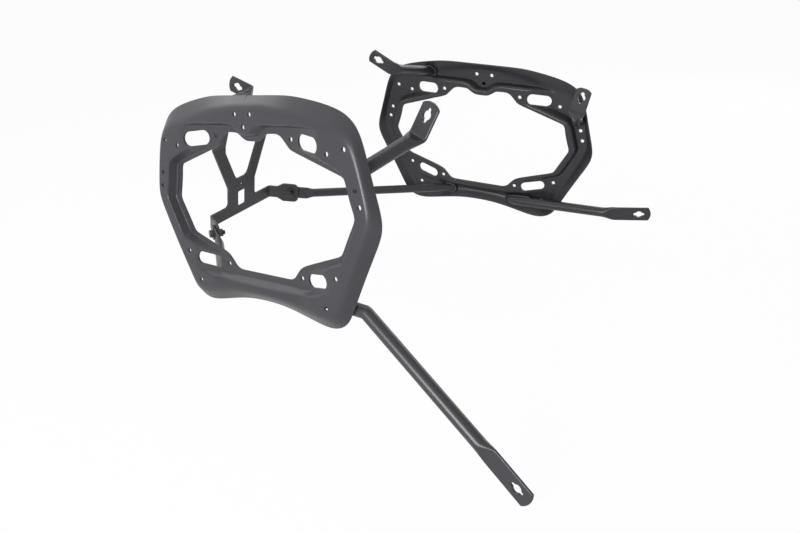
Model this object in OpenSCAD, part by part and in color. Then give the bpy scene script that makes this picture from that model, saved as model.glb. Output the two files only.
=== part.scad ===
// Pannier frame for a motorcycle: a pressed steel ring at each side to carry a hard case,
// flattened tube arms that bolt to the bike, and a bolted cross brace behind.
// Millimetres. X points forward, Y to the left, Z up; the origin is the middle of the mounting hole
// at the end of the right forward strut.

/* [Pannier ring] */

// Length of a ring along the bike, measured over its outer lip
ring_length = 438.8; // [400:0.2:480]

// Height of a ring, measured over its outer lip
ring_height = 292.8; // [270:0.2:320]

// Depth of the pressing, from the outer face back to the inner lip
press_depth = 13; // [11:0.5:15]

// Thickness of the pressed sheet
sheet = 3; // [2:0.25:3.5]

// How far the bend between face and outer flange is rounded along each side
bend_reach = 9; // [4:0.5:10]

// Diameter of the round holes that take the case fittings
fitting_hole = 6.5; // [5:0.5:8]

// Length of the long slots in the corner gussets
slot_length = 44; // [36:1:46]

// Height of the long slots in the upper gussets
upper_slot_height = 20; // [12:1:21]

// Height of the long slots in the lower gussets
lower_slot_height = 18; // [12:1:18]

/* [Placing of the rings] */

// Half of the distance between the two ring faces, at their middles
half_gap = 320.6; // [300:0.2:345]

// Lean of the rings, tops toward the bike
lean = 6.1; // [4:0.1:8]

// Turn of the right ring, front end away from the bike
toe_right = 7.05; // [5:0.05:9]

// Turn of the left ring, front end away from the bike
toe_left = 8.07; // [6:0.05:10]

// Nose up tilt of the right ring and nose down tilt of the left one
tilt = 4.81; // [3:0.01:6]

// Height of the right ring above the middle, and of the left ring below it
rise = 25.2; // [20:0.2:30]

// Distance of the right ring behind the middle, and of the left ring ahead of it
lag = 8.4; // [4:0.2:12]

/* [Arms] */

// Diameter of the forward struts
strut_tube = 18; // [16:0.5:19]

// Diameter of the upper arms
arm_tube = 16; // [14:0.5:16.5]

// Thickness of a flattened tube end
flat_thickness = 4; // [3:0.5:5]

// Width of the flattened end of a strut
strut_flat = 26; // [24:0.5:28]

// Width of the flattened end of an upper arm
arm_flat = 24.5; // [22:0.5:26]

// Length over which a round tube becomes flat
flatten_length = 20; // [16:1:26]

// Diameter of the round middle of the mounting holes
mount_hole = 12.4; // [10:0.2:13]

// Width of the narrow ends of the mounting holes
mount_slot = 5.4; // [4:0.2:6]

// Length of the mounting holes over their narrow ends
mount_slot_length = 21.4; // [18:0.2:23]

// Radius of the rounded outline at the end of a flattened tube
end_radius = 20; // [16:1:26]

// Height of a weld bead over the surface it runs on
bead = 1.2; // [0.8:0.1:1.3]

/* [Cross brace] */

// Thickness of the cross plate
plate_thickness = 4; // [3:0.5:5]

// Width of the flat middle of the cross plate, between its two bends
plate_width = 162; // [150:1:176]

// Height of the bar along the lower edge of the cross plate
bar_height = 23; // [20:0.5:26]

// Width of the two posts of the cross plate together
post_width = 70.6; // [64:0.2:78]

// Width of each rising arm of the cross plate
fork_width = 23; // [18:0.5:26]

// Height of the two rising arms up to their bend
fork_height = 103; // [90:1:110]

// Width of the window in the cross plate
window_width = 20.6; // [14:0.2:26]

// Height of the window in the cross plate
window_height = 31; // [24:0.5:34]

// Diameter of the small hole above the window
plate_hole = 5; // [4:0.5:7]

// Angle by which the two ends of the cross plate are bent forward
wing_angle = 57; // [50:1:64]

// Distance from the bend to the bolt in each end of the cross plate
wing_reach = 42.7; // [38:0.1:48]

// Angle by which the tops of the rising arms are bent forward
horn_angle = 42; // [30:1:50]

// Length of the bent tops of the rising arms
horn_length = 34; // [26:1:40]

// Lean of the cross plate, top toward the front
plate_lean = 13; // [9:0.5:16]

// Sideways tilt of the cross plate
plate_roll = 3.7; // [0:0.1:6]

// Distance of the cross plate behind the middle of the rings
plate_back = 320; // [310:1:330]

// Distance of the middle of the cross plate to the right of the middle
plate_side = 25; // [18:0.5:30]

// Depth of the middle of the window below the middle of the rings
plate_drop = 91; // [84:0.5:98]

// Thread diameter of the two brace bolts
bolt = 8; // [6:0.5:8]

// Clearance of the bolts in their holes, on the diameter
bolt_clearance = 0.8; // [0.4:0.1:1.2]

// Gap left between pieces that rest against each other
seat = 0.05; // [0.02:0.01:0.2]

/* [Hidden] */

$fn = 48;

coat_light = [0.33, 0.33, 0.35];
coat_dark = [0.25, 0.25, 0.27];
zinc_dark = [0.13, 0.13, 0.14];

// Half of the ring, from the middle of the top forward and down to the middle of the bottom.
// Each row is one place along the sheet and holds seven marks [x, z], from outside to inside:
// outer lip, outer bend, edge of the face, foot of the first step, edge of the gusset,
// foot of the second step, inner lip. Where a mark has no step it just lies on the sheet.
RING_MARKS = [
    [[0, 142], [0, 128], [0, 92.5], [0, 89.8], [0, 88], [0, 86], [0, 83]],
    [[12, 142], [11, 128], [7.5, 93], [11, 89.8], [11.3, 88], [11.7, 86], [12, 83.3]],
    [[22, 142], [20, 127.6], [15, 100], [19.5, 94], [20, 92.2], [20.3, 90.2], [20.5, 87.8]],
    [[32, 142], [30, 126.6], [22, 105.5], [27.5, 100.8], [27.7, 98.5], [27.9, 96.2], [28, 93.2]],
    [[44, 142], [43, 124.2], [38, 106.3], [39, 102.8], [39, 100], [39, 97], [39, 93.8]],
    [[56, 142], [55, 122.5], [52, 106.3], [52, 102.8], [51, 100], [50, 97], [48.5, 93.8]],
    [[67, 141.8], [66, 121], [63, 106.2], [62.5, 102.8], [60, 98], [58.5, 94], [56, 90.8]],
    [[78, 141.2], [76, 119.4], [73, 106], [72.5, 102.8], [67, 90], [65.2, 86.8], [63, 83.5]],
    [[88, 140.2], [86, 117.4], [83, 106], [82.5, 102.8], [75, 79.5], [73, 77.4], [70.5, 75.2]],
    [[98, 138.8], [96, 115], [93, 105.8], [92.5, 102.9], [88, 75.6], [86.2, 73.6], [81, 71.2]],
    [[108, 137.2], [106, 113], [103, 105.2], [102.5, 103], [100, 73.4], [98.5, 70.8], [93, 67.5]],
    [[120, 135.2], [117, 110.6], [114, 104.4], [113.5, 102.9], [111, 71.3], [109, 67.8], [104, 63.9]],
    [[131, 133], [128, 108.2], [125, 103], [124.6, 102], [122, 69.8], [120, 64.8], [116, 60]],
    [[142, 130.5], [139, 105.8], [136, 101], [136, 99], [134, 68.2], [131.5, 60.8], [128.5, 56]],
    [[153, 127.5], [150, 103.2], [147, 98], [147, 94], [146, 64], [143.5, 56.8], [141, 51.9]],
    [[165, 123.3], [161, 100.5], [158, 92], [158, 88], [157, 59.3], [153.5, 53.4], [151, 48.7]],
    [[176, 117.2], [171, 97], [167, 86], [166, 81], [165.5, 55], [161.5, 50.6], [157, 46.7]],
    [[185, 109], [179, 92.5], [173, 80], [171.5, 74], [171, 50], [167.2, 47.7], [160.5, 44.3]],
    [[192.5, 98], [185.5, 86.5], [177, 74], [175, 66], [174.4, 44], [170.8, 43], [162.8, 39.6]],
    [[198.3, 79], [190.8, 78], [182, 66], [178.5, 58], [176.8, 35.5], [173.3, 34.5], [164.3, 31.5]],
    [[204.2, 55], [196.8, 57.5], [188, 49], [182.5, 42], [179.8, 24.5], [176.3, 23.5], [167, 20.5]],
    [[210.3, 31.5], [202, 36], [194, 31], [187.5, 27], [182.8, 13.7], [179.2, 12.7], [170.2, 10]],
    [[216, 12.5], [206, 15.5], [199, 13], [192, 11], [186, 4.5], [182.4, 3.4], [172.8, 2.5]],
    [[219.4, -3], [207.5, 3], [201, 1.5], [194, 0], [187.3, -1.5], [183.6, -3], [173.8, -3.5]],
    [[217.8, -17.5], [204.5, -8.5], [198, -9], [191.5, -8.5], [184.6, -8.8], [181, -9.5], [171.6, -9.3]],
    [[209.5, -33.5], [194.5, -30], [190, -27], [184, -24.5], [177, -24], [173.4, -24], [163, -24.3]],
    [[197.5, -55], [184, -51], [179.5, -48], [174, -43], [168.8, -40.5], [165, -40.2], [154.8, -39.6]],
    [[188.5, -72], [175.5, -68], [171, -65], [167, -58], [163.3, -51.5], [159.4, -49.9], [150.5, -47.6]],
    [[180.5, -87], [167.5, -83], [163, -79], [159.5, -71], [157, -59.3], [154, -54.8], [147.3, -51.6]],
    [[173, -102], [160, -97], [155, -90], [151.5, -81], [148, -62.9], [146, -57.6], [140.5, -54.4]],
    [[167, -114], [153.5, -109], [148, -98], [144, -89], [138.5, -66.2], [136.5, -60.6], [131.5, -57.3]],
    [[161.5, -125], [148, -119.5], [140.5, -101], [138.5, -94.5], [130, -69.2], [127.5, -63.6], [122, -60.3]],
    [[156, -134.5], [143, -128], [133, -103.8], [132.4, -101.2], [121, -72], [118.5, -66.9], [112.5, -63.3]],
    [[149, -142], [136, -133], [124, -105.8], [123.5, -102.3], [111, -74.9], [109, -70.3], [103, -66.4]],
    [[139, -147.8], [126, -134.5], [113, -107.6], [112.5, -103], [100, -77.9], [98, -74.1], [93, -69.6]],
    [[126, -150.8], [114, -132.5], [102, -109.4], [101.5, -103.6], [88.5, -81.2], [86.5, -77.9], [82, -73.3]],
    [[112, -149.8], [101, -130], [91, -110.8], [90.5, -104], [78, -85], [76, -81.8], [73.2, -77.7]],
    [[97, -147], [88, -128], [80, -112], [79.5, -104.3], [70.5, -90.5], [68.6, -88.2], [66, -85.2]],
    [[82, -143.8], [75, -126], [69, -112.6], [68.5, -104.3], [64, -97.5], [62.2, -95.3], [60, -92.5]],
    [[66, -140.5], [61, -124.2], [57, -113], [57, -104.3], [55, -101.8], [53.6, -99.4], [52, -96]],
    [[48, -137], [45, -122.8], [43, -113], [43, -104.3], [42, -102], [41.5, -99.5], [41, -96.2]],
    [[26, -134.2], [25, -121.8], [24, -113], [24, -104.3], [24, -102], [24, -99.5], [24, -96.2]],
    [[0, -133.6], [0, -121.5], [0, -113], [0, -104.3], [0, -102], [0, -99.5], [0, -96.2]]
];

// Overall size that the marks above describe
MARKED_LENGTH = 438.8;
MARKED_HEIGHT = 292.8;

// Distance from the middle at which a gusset starts to slope, and at which it reaches the lip
SLOPE_START = 133;
SLOPE_END = 87;

// Round holes of one half: x and z
FITTING_HOLES = [
    [14.7, 118.8], [176.1, 81.1], [147.8, 74.6], [74.4, 88],
    [190, 34.1], [195.1, 14.9], [148, -77.7], [74.4, -90.7], [127.4, -118.8]
];

// Round hole in the middle of the top, below the pair
MIDDLE_HOLE = 102.3;

// Middles of the long slots: x, z, and the fall toward the front in degrees
UPPER_SLOT = [110, 84.6, -5];
LOWER_SLOT = [109.4, -88, 9.5];

// Small step left where a tube, its flattening and its flat end, or two parts of the bent plate,
// run into each other
STEP = 0.3;

scale_x = ring_length / MARKED_LENGTH;
scale_z = ring_height / MARKED_HEIGHT;

// One unit vector along v
function unit(v) = v / norm(v);

// Point part of the way from a to b
function between(a, b, part) = a + (b - a) * part;

// Depth of a gusset at distance x from the middle
function slope_depth(x) =
    press_depth * max(0, min(1, (SLOPE_START - abs(x)) / (SLOPE_START - SLOPE_END)));

// Mark [x, z] set at depth w in the ring's own frame
function place(m, w) = [m[0] * scale_x, w, m[1] * scale_z];

// Points of the front surface across the sheet at one row
function section(row) =
    let (
        lip = place(row[0], press_depth),
        bend = place(row[1], 0),
        edge = place(row[2], 0),
        near_lip = bend + unit(lip - bend) * min(bend_reach, 0.45 * norm(lip - bend)),
        near_face = bend + unit(edge - bend) * min(bend_reach, 0.45 * norm(edge - bend))
    )
    [
        lip,
        near_lip,
        round_mark(near_lip, bend, near_face, 0.34),
        round_mark(near_lip, bend, near_face, 0.67),
        near_face,
        edge,
        place(row[3], slope_depth(row[3][0])),
        place(row[4], slope_depth(row[4][0])),
        place(row[5], press_depth),
        place(row[6], press_depth)
    ];

// Point on the rounding between a and c round the corner b
function round_mark(a, b, c, part) =
    between(between(a, b, part), between(b, c, part), part);

// A row on the other half
function mirrored(s) = [for (p = s) [-p[0], p[1], p[2]]];

HALF = [for (row = RING_MARKS) section(row)];
ROWS = len(HALF);

// Whole loop of sections, starting at the middle of the top and running forward
LOOP = concat(HALF, [for (i = [ROWS - 2 : -1 : 1]) mirrored(HALF[i])]);
COUNT = len(LOOP);
ACROSS = len(LOOP[0]);

// Direction through the sheet at a mark: both neighbouring strips are set back by one thickness
function strip_normal(along, a, b) = unit(cross(along, b - a));

function set_back(i, k) =
    let (
        along = LOOP[(i + 1) % COUNT][k] - LOOP[(i + COUNT - 1) % COUNT][k],
        outer = strip_normal(along, LOOP[i][max(0, k - 1)], LOOP[i][max(1, k)]),
        inner = strip_normal(along, LOOP[i][min(ACROSS - 2, k)], LOOP[i][min(ACROSS - 1, k + 1)])
    )
    LOOP[i][k] + sheet * (outer + inner) / (1 + outer * inner);

// Index of a point of the front surface, and of the same point at the back
function front_point(i, k) = (i % COUNT) * ACROSS + k;
function back_point(i, k) = COUNT * ACROSS + front_point(i, k);

// The pressed sheet as one closed skin
module ring_sheet() {
    front = [for (i = [0 : COUNT - 1]) for (k = [0 : ACROSS - 1]) LOOP[i][k]];
    back = [for (i = [0 : COUNT - 1]) for (k = [0 : ACROSS - 1]) set_back(i, k)];
    last = ACROSS - 1;
    faces = [
        for (i = [0 : COUNT - 1])
            for (k = [0 : ACROSS - 2])
                each [
                    [front_point(i, k), front_point(i + 1, k + 1), front_point(i + 1, k)],
                    [front_point(i, k), front_point(i, k + 1), front_point(i + 1, k + 1)],
                    [back_point(i, k), back_point(i + 1, k), back_point(i + 1, k + 1)],
                    [back_point(i, k), back_point(i + 1, k + 1), back_point(i, k + 1)]
                ],
        for (i = [0 : COUNT - 1])
            each [
                [front_point(i, 0), back_point(i + 1, 0), back_point(i, 0)],
                [front_point(i, 0), front_point(i + 1, 0), back_point(i + 1, 0)],
                [front_point(i, last), back_point(i, last), back_point(i + 1, last)],
                [front_point(i, last), back_point(i + 1, last), front_point(i + 1, last)]
            ]
    ];
    polyhedron(points = concat(front, back), faces = faces, convexity = 12);
}

// Straight bore through the sheet
module bore(x, z, d) {
    translate([x, -6, z])
    rotate([-90, 0, 0])
    cylinder(h = press_depth + 14, d = d);
}

// Long slot through the sheet, falling toward the front by the given angle
module long_slot(x, z, height, fall) {
    half = (slot_length - height) / 2;
    translate([x, 0, z])
    rotate([0, -fall, 0]) {
        bore(-half, 0, height);
        bore(half, 0, height);
        translate([-half, -6, -height / 2])
        cube([2 * half, press_depth + 14, height]);
    }
}

// One pressed ring in its own frame: outer face at w = 0, lips toward the bike
module pressed_ring() {
    difference() {
        ring_sheet();
        bore(0, MIDDLE_HOLE * scale_z, fitting_hole);
        for (side = [-1, 1]) {
            for (hole = FITTING_HOLES)
                bore(side * hole[0] * scale_x, hole[1] * scale_z, fitting_hole);
            long_slot(side * UPPER_SLOT[0] * scale_x, UPPER_SLOT[1] * scale_z,
                upper_slot_height, side * UPPER_SLOT[2]);
            long_slot(side * LOWER_SLOT[0] * scale_x, LOWER_SLOT[1] * scale_z,
                lower_slot_height, side * LOWER_SLOT[2]);
        }
    }
}

// Moves a thing from the ring's own frame to its place on the right of the bike
module on_right() {
    translate(RIGHT_MIDDLE)
    rotate([-lean, -tilt, -toe_right])
    children();
}

// Moves a thing from the ring's own frame to its place on the left of the bike
module on_left() {
    translate(LEFT_MIDDLE)
    mirror([0, 1, 0])
    rotate([-lean, tilt, -toe_left])
    children();
}

// The same moves for a single point
function turn_x(p, a) = [p[0], p[1] * cos(a) - p[2] * sin(a), p[1] * sin(a) + p[2] * cos(a)];
function turn_y(p, a) = [p[0] * cos(a) + p[2] * sin(a), p[1], -p[0] * sin(a) + p[2] * cos(a)];
function turn_z(p, a) = [p[0] * cos(a) - p[1] * sin(a), p[0] * sin(a) + p[1] * cos(a), p[2]];

function turn_right(p) = turn_z(turn_y(turn_x(p, -lean), -tilt), -toe_right);

function turn_left(p) =
    let (q = turn_z(turn_y(turn_x(p, -lean), tilt), -toe_left))
    [q[0], -q[1], q[2]];

function right_point(p) = RIGHT_MIDDLE + turn_right(p);

function left_point(p) = LEFT_MIDDLE + turn_left(p);

// Places [x, w, z] on the marked ring that the struts, arms and brace tubes keep to
STRUT_SEAT = [150, 0, -124];
FRONT_SEAT = [184, sheet + seat, 50];
REAR_SEAT = [-104.8, 9.45, 118.9];
BRACE_SEAT_LEFT = [-58, 4, -121];
BRACE_SEAT_RIGHT = [-80, 4, -124.4];

// Points of a path, moved along with a place on the ring when the ring's size changes
function carried(path, at) =
    [for (p = path) p + [at[0] * (scale_x - 1), 0, at[2] * (scale_z - 1)]];

// Paths of the forward struts in their ring's own frame: start, bends, fold and mounting hole
STRUT_RIGHT = carried(
    [[62, 15.8, -124.5], [172, 25.5, -123.2], [352, 28, -266.8], [386, 28.5, -295]], STRUT_SEAT);
STRUT_LEFT = carried([[62, 15.3, -122.5], [274, 34.4, -105.5], [317, 26, -102]], STRUT_SEAT);

// Middles of the rings and the point halfway between them, seen from the right strut's hole
RIGHT_MIDDLE = -turn_right(STRUT_RIGHT[len(STRUT_RIGHT) - 1]);
HALFWAY = RIGHT_MIDDLE + [lag, half_gap, -rise];
LEFT_MIDDLE = HALFWAY + [lag, half_gap, -rise];

// Stands children up at p so that their Z runs along d and their X as near as possible along u
module along(p, d, u) {
    z = unit(d);
    x = unit(u - (u * z) * z);
    y = cross(z, x);
    multmatrix([
        [x[0], y[0], z[0], p[0]],
        [x[1], y[1], z[1], p[1]],
        [x[2], y[2], z[2], p[2]],
        [0, 0, 0, 1]
    ])
    children();
}

// Outline of a tube that is part of the way to flat: round at 0, flat at 1
function squeezed(part, d, width, turns) =
    let (
        ease = part * part * (3 - 2 * part),
        round = (d + STEP) / cos(180 / turns),
        thick = round + (flat_thickness + STEP - round) * ease,
        wide = round + (width + STEP - round) * ease,
        straight = (wide - thick) / 2
    )
    [for (a = [0 : turns - 1])
        let (t = 360 * (a + 0.5) / turns)
        [sign(cos(t)) * straight + thick / 2 * cos(t), thick / 2 * sin(t)]];

// Length of tube along Z that goes from round at 0 to flat at its end
module flattening(d, width) {
    turns = 28;
    steps = 6;
    rings = [for (s = [0 : steps])
        [for (q = squeezed(s / steps, d, width, turns)) [q[0], q[1], s * flatten_length / steps]]];
    points = [for (ring = rings) each ring];
    walls = [for (s = [0 : steps - 1]) for (a = [0 : turns - 1])
        let (b = (a + 1) % turns)
        each [
            [s * turns + a, (s + 1) * turns + a, (s + 1) * turns + b],
            [s * turns + a, (s + 1) * turns + b, s * turns + b]
        ]];
    ends = [
        [for (a = [0 : turns - 1]) a],
        [for (a = [turns - 1 : -1 : 0]) steps * turns + a]
    ];
    polyhedron(points = points, faces = concat(walls, ends), convexity = 4);
}

// Flat end along Z from 0, as wide as given, rounded beyond the hole
module flat_end(width, reach, beyond) {
    intersection() {
        translate([-width / 2, -flat_thickness / 2, -1])
        cube([width, flat_thickness, reach + beyond + 1]);
        translate([0, flat_thickness, reach + beyond - end_radius])
        rotate([90, 0, 0])
        union() {
            cylinder(h = 2 * flat_thickness, r = end_radius, $fn = 96);
            translate([-width, -reach - beyond - end_radius, 0])
            cube([2 * width, reach + beyond + end_radius, 2 * flat_thickness]);
        }
    }
}

// Profiled hole: a round middle with a narrow slot each way along Z
module profiled_hole(reach) {
    half = (mount_slot_length - mount_slot) / 2;
    translate([0, flat_thickness, reach])
    rotate([90, 0, 0]) {
        cylinder(h = 2 * flat_thickness, d = mount_hole);
        for (side = [-1, 1])
            translate([0, side * half, 0])
            cylinder(h = 2 * flat_thickness, d = mount_slot);
        translate([-mount_slot / 2, -half, 0])
        cube([mount_slot, 2 * half, 2 * flat_thickness]);
    }
}

// Tube with one flattened end.
// path: start, optional bends, fold, hole; cut: [point, direction] planes that trim the start.
module flattened_tube(path, d, width, beyond, across, cuts, profiled, hole) {
    last = len(path) - 1;
    fold = path[last - 1];
    tip = path[last];
    into = unit(fold - path[last - 2]);
    out = unit(tip - fold);
    difference() {
        union() {
            for (i = [0 : last - 2]) {
                run = path[i + 1] - path[i];
                trim = (i == last - 2) ? flatten_length : 0;
                along(path[i], run, across)
                cylinder(h = norm(run) - trim + 0.1, d = d);
                if (i > 0)
                    along(path[i], run, across)
                    sphere(d = d + 2 * STEP);
            }
            along(fold - into * flatten_length, into, across)
            flattening(d, width);
            along(fold, out, across)
            flat_end(width, norm(tip - fold), beyond);
            along(fold, across, out)
            translate([0, 0, -width / 2 + STEP])
            cylinder(h = width - 2 * STEP, d = flat_thickness + 3 * STEP, $fn = 32);
        }
        along(fold, out, across)
        if (profiled)
            profiled_hole(norm(tip - fold));
        else
            translate([0, flat_thickness, norm(tip - fold)])
            rotate([90, 0, 0])
            cylinder(h = 2 * flat_thickness, d = hole);
        for (cut = cuts)
            along(cut[0], cut[1], [1, 0.01, 0])
            translate([-60, -60, 0])
            cube([120, 120, 120]);
    }
}

// Weld bead round a tube that stands on the sheet
module standing_bead(p, d, tube) {
    along(p, d, [1, 0, 0])
    rotate_extrude($fn = 40)
    translate([tube / 2 - 0.2, 0])
    circle(r = bead, $fn = 16);
}

// Forward strut, shared shape: it leaves the channel of the ring past its lower front corner
module forward_strut(path, across) {
    start = path[0];
    run = unit(path[1] - path[0]);
    slant = unit(-run + [0, 0.55, 0.1]);
    flattened_tube(path, strut_tube, strut_flat, 21, across,
        [[start + run * 12, slant]], true, mount_hole);
}

module forward_strut_right() {
    color(coat_light)
    on_right()
    forward_strut(STRUT_RIGHT, [0.62, 0, 0.78]);
}

module forward_strut_left() {
    color(coat_dark)
    on_left()
    forward_strut(STRUT_LEFT, [0, 0, 1]);
}

// Upper arm, shared shape: its round end stands on the sheet, its flat end folds up
module upper_arm(path, floor_point, floor_out, beyond) {
    into = path[1] - path[0];
    out = path[2] - path[1];
    foot = path[0] + unit(into) * ((floor_point - path[0]) * floor_out) / (unit(into) * floor_out);
    flattened_tube(path, arm_tube, arm_flat, beyond, unit(cross(into, out)),
        [[floor_point, -floor_out]], true, mount_hole);
    difference() {
        standing_bead(foot + floor_out * (bead + 0.3), floor_out, arm_tube + 0.6);
        along(floor_point, -floor_out, [1, 0.01, 0])
        translate([-30, -30, 0])
        cube([60, 60, 20]);
    }
}

// Upper arm that stands on the front web of a ring
module front_arm(path) {
    upper_arm(carried(path, FRONT_SEAT), carried([FRONT_SEAT], FRONT_SEAT)[0], [0, 1, 0], 16.5);
}

// Upper arm that stands inside the top flange of a ring
module rear_arm(path, beyond) {
    floor_out = unit([0.093 / scale_x, 0.878, -0.466 / scale_z]);
    upper_arm(carried(path, REAR_SEAT), carried([REAR_SEAT], REAR_SEAT)[0], floor_out, beyond);
}

module front_arm_right() {
    color(coat_light)
    on_right()
    front_arm([[183, -4, 47.5], [206, 100, 86.5], [218, 105, 111]]);
}

module front_arm_left() {
    color(coat_light)
    on_left()
    front_arm([[182.6, -4, 47], [198.5, 100, 101], [204, 98, 128.5]]);
}

module rear_arm_right() {
    color(coat_light)
    on_right()
    rear_arm([[-101, -3, 114.5], [-139, 120, 141.5], [-163, 131, 147]], 16.5);
}

module rear_arm_left() {
    color(coat_dark)
    on_left()
    rear_arm([[-101, -3, 114.5], [-139, 112, 146], [-164, 115, 160.5]], 18);
}

module ring_right() {
    color(coat_light)
    on_right()
    pressed_ring();
}

module ring_left() {
    color(coat_dark)
    on_left()
    pressed_ring();
}

// Frame of the cross plate: X across to the left, Y up the plate, Z to the front.
// The origin is the middle of the window on the rear face.
function plate_point(p) =
    HALFWAY + [-plate_back, -plate_side, -plate_drop]
    + turn_x(turn_y([p[2], p[0], p[1]], plate_lean), plate_roll);

function plate_dir(p) = turn_x(turn_y([p[2], p[0], p[1]], plate_lean), plate_roll);

module in_plate() {
    x = plate_dir([1, 0, 0]);
    y = plate_dir([0, 1, 0]);
    z = plate_dir([0, 0, 1]);
    o = plate_point([0, 0, 0]);
    multmatrix([
        [x[0], y[0], z[0], o[0]],
        [x[1], y[1], z[1], o[1]],
        [x[2], y[2], z[2], o[2]],
        [0, 0, 0, 1]
    ])
    children();
}

bar_low = -30;
bar_top = bar_low + bar_height;
joint_level = bar_low + bar_height / 2;
knee = plate_width / 2;
wing_along = [cos(wing_angle), 0, sin(wing_angle)];
wing_out = [sin(wing_angle), 0, -cos(wing_angle)];
lobe_height = 37;
lobe_reach = 15;
lobe_corner = 9;
post_fillet = 8;
window_corner = 3;
plate_hole_height = 28;
fork_low = 30;
fork_foot = 17;
fork_slope = 0.415;
fork_breadth = fork_width / cos(atan(fork_slope));
gap_foot = 44;
tube_flat = 24;

// Place of a brace bolt on the rear face of the cross plate's end: side 1 left, -1 right
function joint_mark(side) =
    [side * (knee + wing_reach * wing_along[0]), joint_level, wing_reach * wing_along[2]];

// Sheet of the plate standing on its rear face, drawn in its own plane
module plate_sheet() {
    linear_extrude(height = plate_thickness)
    children();
}

// Points along an arc round the point c
function arc(c, r, from, to, steps = 8) =
    [for (i = [0 : steps])
        let (t = from + (to - from) * i / steps)
        c + r * [cos(t), sin(t)]];

// The same outline on the other side of the middle, in the order that closes it
function other_side(points) =
    [for (i = [len(points) - 1 : -1 : 0]) [-points[i][0], points[i][1]]];

// Outline of the flat middle: bar, posts and the two rising arms
module plate_outline() {
    post = post_width / 2;
    inner = fork_foot + fork_slope * (fork_height - gap_foot);
    half = concat(
        [[knee, bar_low], [knee, bar_top]],
        arc([post + post_fillet, bar_top + post_fillet], post_fillet, 270, 180),
        [
            [post, fork_low],
            [inner + fork_breadth, fork_height],
            [inner, fork_height],
            [fork_foot + 2, gap_foot + 8],
            [fork_foot - 2, gap_foot + 1.5],
            [fork_foot - 8, gap_foot - 1.5]
        ]
    );
    difference() {
        polygon(concat(half, other_side(half)));
        window();
        translate([0, plate_hole_height])
        circle(d = plate_hole);
    }
}

// Window with rounded corners
module window() {
    x = window_width / 2 - window_corner;
    y = window_height / 2 - window_corner;
    half = concat(
        arc([x, -y], window_corner, -90, 0, 4),
        arc([x, y], window_corner, 0, 90, 4)
    );
    polygon(concat(half, other_side(half)));
}

// Outline of a bent end: the bar, then the wide lobe that takes the bolt
module wing_outline() {
    mid = bar_height / 2 - STEP;
    half = lobe_height / 2;
    corner_x = wing_reach + lobe_reach - lobe_corner;
    corner_y = half - lobe_corner;
    polygon(concat(
        [[STEP, -mid], [wing_reach - 26, -mid], [wing_reach - 14, -half]],
        arc([corner_x, -corner_y], lobe_corner, -90, 0),
        arc([corner_x, corner_y], lobe_corner, 0, 90),
        [[wing_reach - 14, half], [wing_reach - 26, mid], [STEP, mid]]
    ));
}

// End of the plate, bent forward, with its bolt hole
module wing(side) {
    multmatrix([
        [side * wing_along[0], 0, side * -wing_along[2], side * knee],
        [0, 1, 0, joint_level],
        [wing_along[2], 0, wing_along[0], 0],
        [0, 0, 0, 1]
    ])
    difference() {
        plate_sheet()
        wing_outline();
        translate([wing_reach, 0, -1])
        cylinder(h = plate_thickness + 2, d = bolt + bolt_clearance);
    }
}

// Top of a rising arm, bent forward
module horn(side) {
    half = fork_breadth / 2 - STEP;
    low = fork_foot + fork_slope * (fork_height - gap_foot);
    translate([side * (low + fork_breadth / 2), fork_height, 0])
    rotate([horn_angle, 0, 0])
    plate_sheet()
    polygon(concat(
        [[-half, STEP], [half, STEP]],
        arc([0, horn_length - half], half, 0, 180, 12)
    ));
}

module cross_plate() {
    color(coat_dark)
    in_plate()
    union() {
        plate_sheet()
        plate_outline();
        for (side = [-1, 1]) {
            wing(side);
            horn(side);
        }
    }
}

// Frame at a brace joint: origin on the rear face of the plate's end, Z along the bolt to the nut
module at_joint(side) {
    o = plate_point(joint_mark(side));
    n = plate_dir([-side * wing_along[2], 0, wing_along[0]]);
    along(o, n, plate_dir([0, 1, 0]))
    children();
}

function joint_point(side, out) =
    plate_point(joint_mark(side) + out * [-side * wing_along[2], 0, wing_along[0]]);

head_height = 5.3;
nut_height = 6.5;
washer_thickness = 1.6;
washer_diameter = 16;
hex_across = 13;

// Stack along the bolt, from the head to the nut, measured from the rear face of the plate
tube_back = -seat - flat_thickness;
head_seat = tube_back - seat - washer_thickness - seat;
nut_seat = plate_thickness + 2 * seat + washer_thickness;

module hexagon(h) {
    cylinder(h = h, d = hex_across / cos(30), $fn = 6);
}

module brace_bolt() {
    translate([0, 0, head_seat - head_height])
    intersection() {
        hexagon(head_height);
        translate([0, 0, 0.01])
        cylinder(h = head_height, r1 = hex_across / 2 + 0.2, r2 = hex_across / 2 + 4, $fn = 48);
    }
    translate([0, 0, head_seat - 0.01])
    cylinder(h = nut_seat + nut_height + 4 - head_seat, d = bolt);
}

module brace_nut() {
    translate([0, 0, nut_seat])
    difference() {
        hexagon(nut_height);
        translate([0, 0, -1])
        cylinder(h = nut_height + 2, d = bolt + 2 * seat);
    }
}

module washer() {
    difference() {
        cylinder(h = washer_thickness, d = washer_diameter);
        translate([0, 0, -1])
        cylinder(h = washer_thickness + 2, d = bolt + bolt_clearance / 2);
    }
}

module bolt_right() {
    color(zinc_dark)
    at_joint(-1)
    brace_bolt();
}

module bolt_left() {
    color(zinc_dark)
    at_joint(1)
    brace_bolt();
}

module nut_right() {
    color(zinc_dark)
    at_joint(-1)
    brace_nut();
}

module nut_left() {
    color(zinc_dark)
    at_joint(1)
    brace_nut();
}

module nut_washer_right() {
    color(zinc_dark)
    at_joint(-1)
    translate([0, 0, plate_thickness + seat])
    washer();
}

module nut_washer_left() {
    color(zinc_dark)
    at_joint(1)
    translate([0, 0, plate_thickness + seat])
    washer();
}

module head_washer_right() {
    color(zinc_dark)
    at_joint(-1)
    translate([0, 0, head_seat + seat])
    washer();
}

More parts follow.
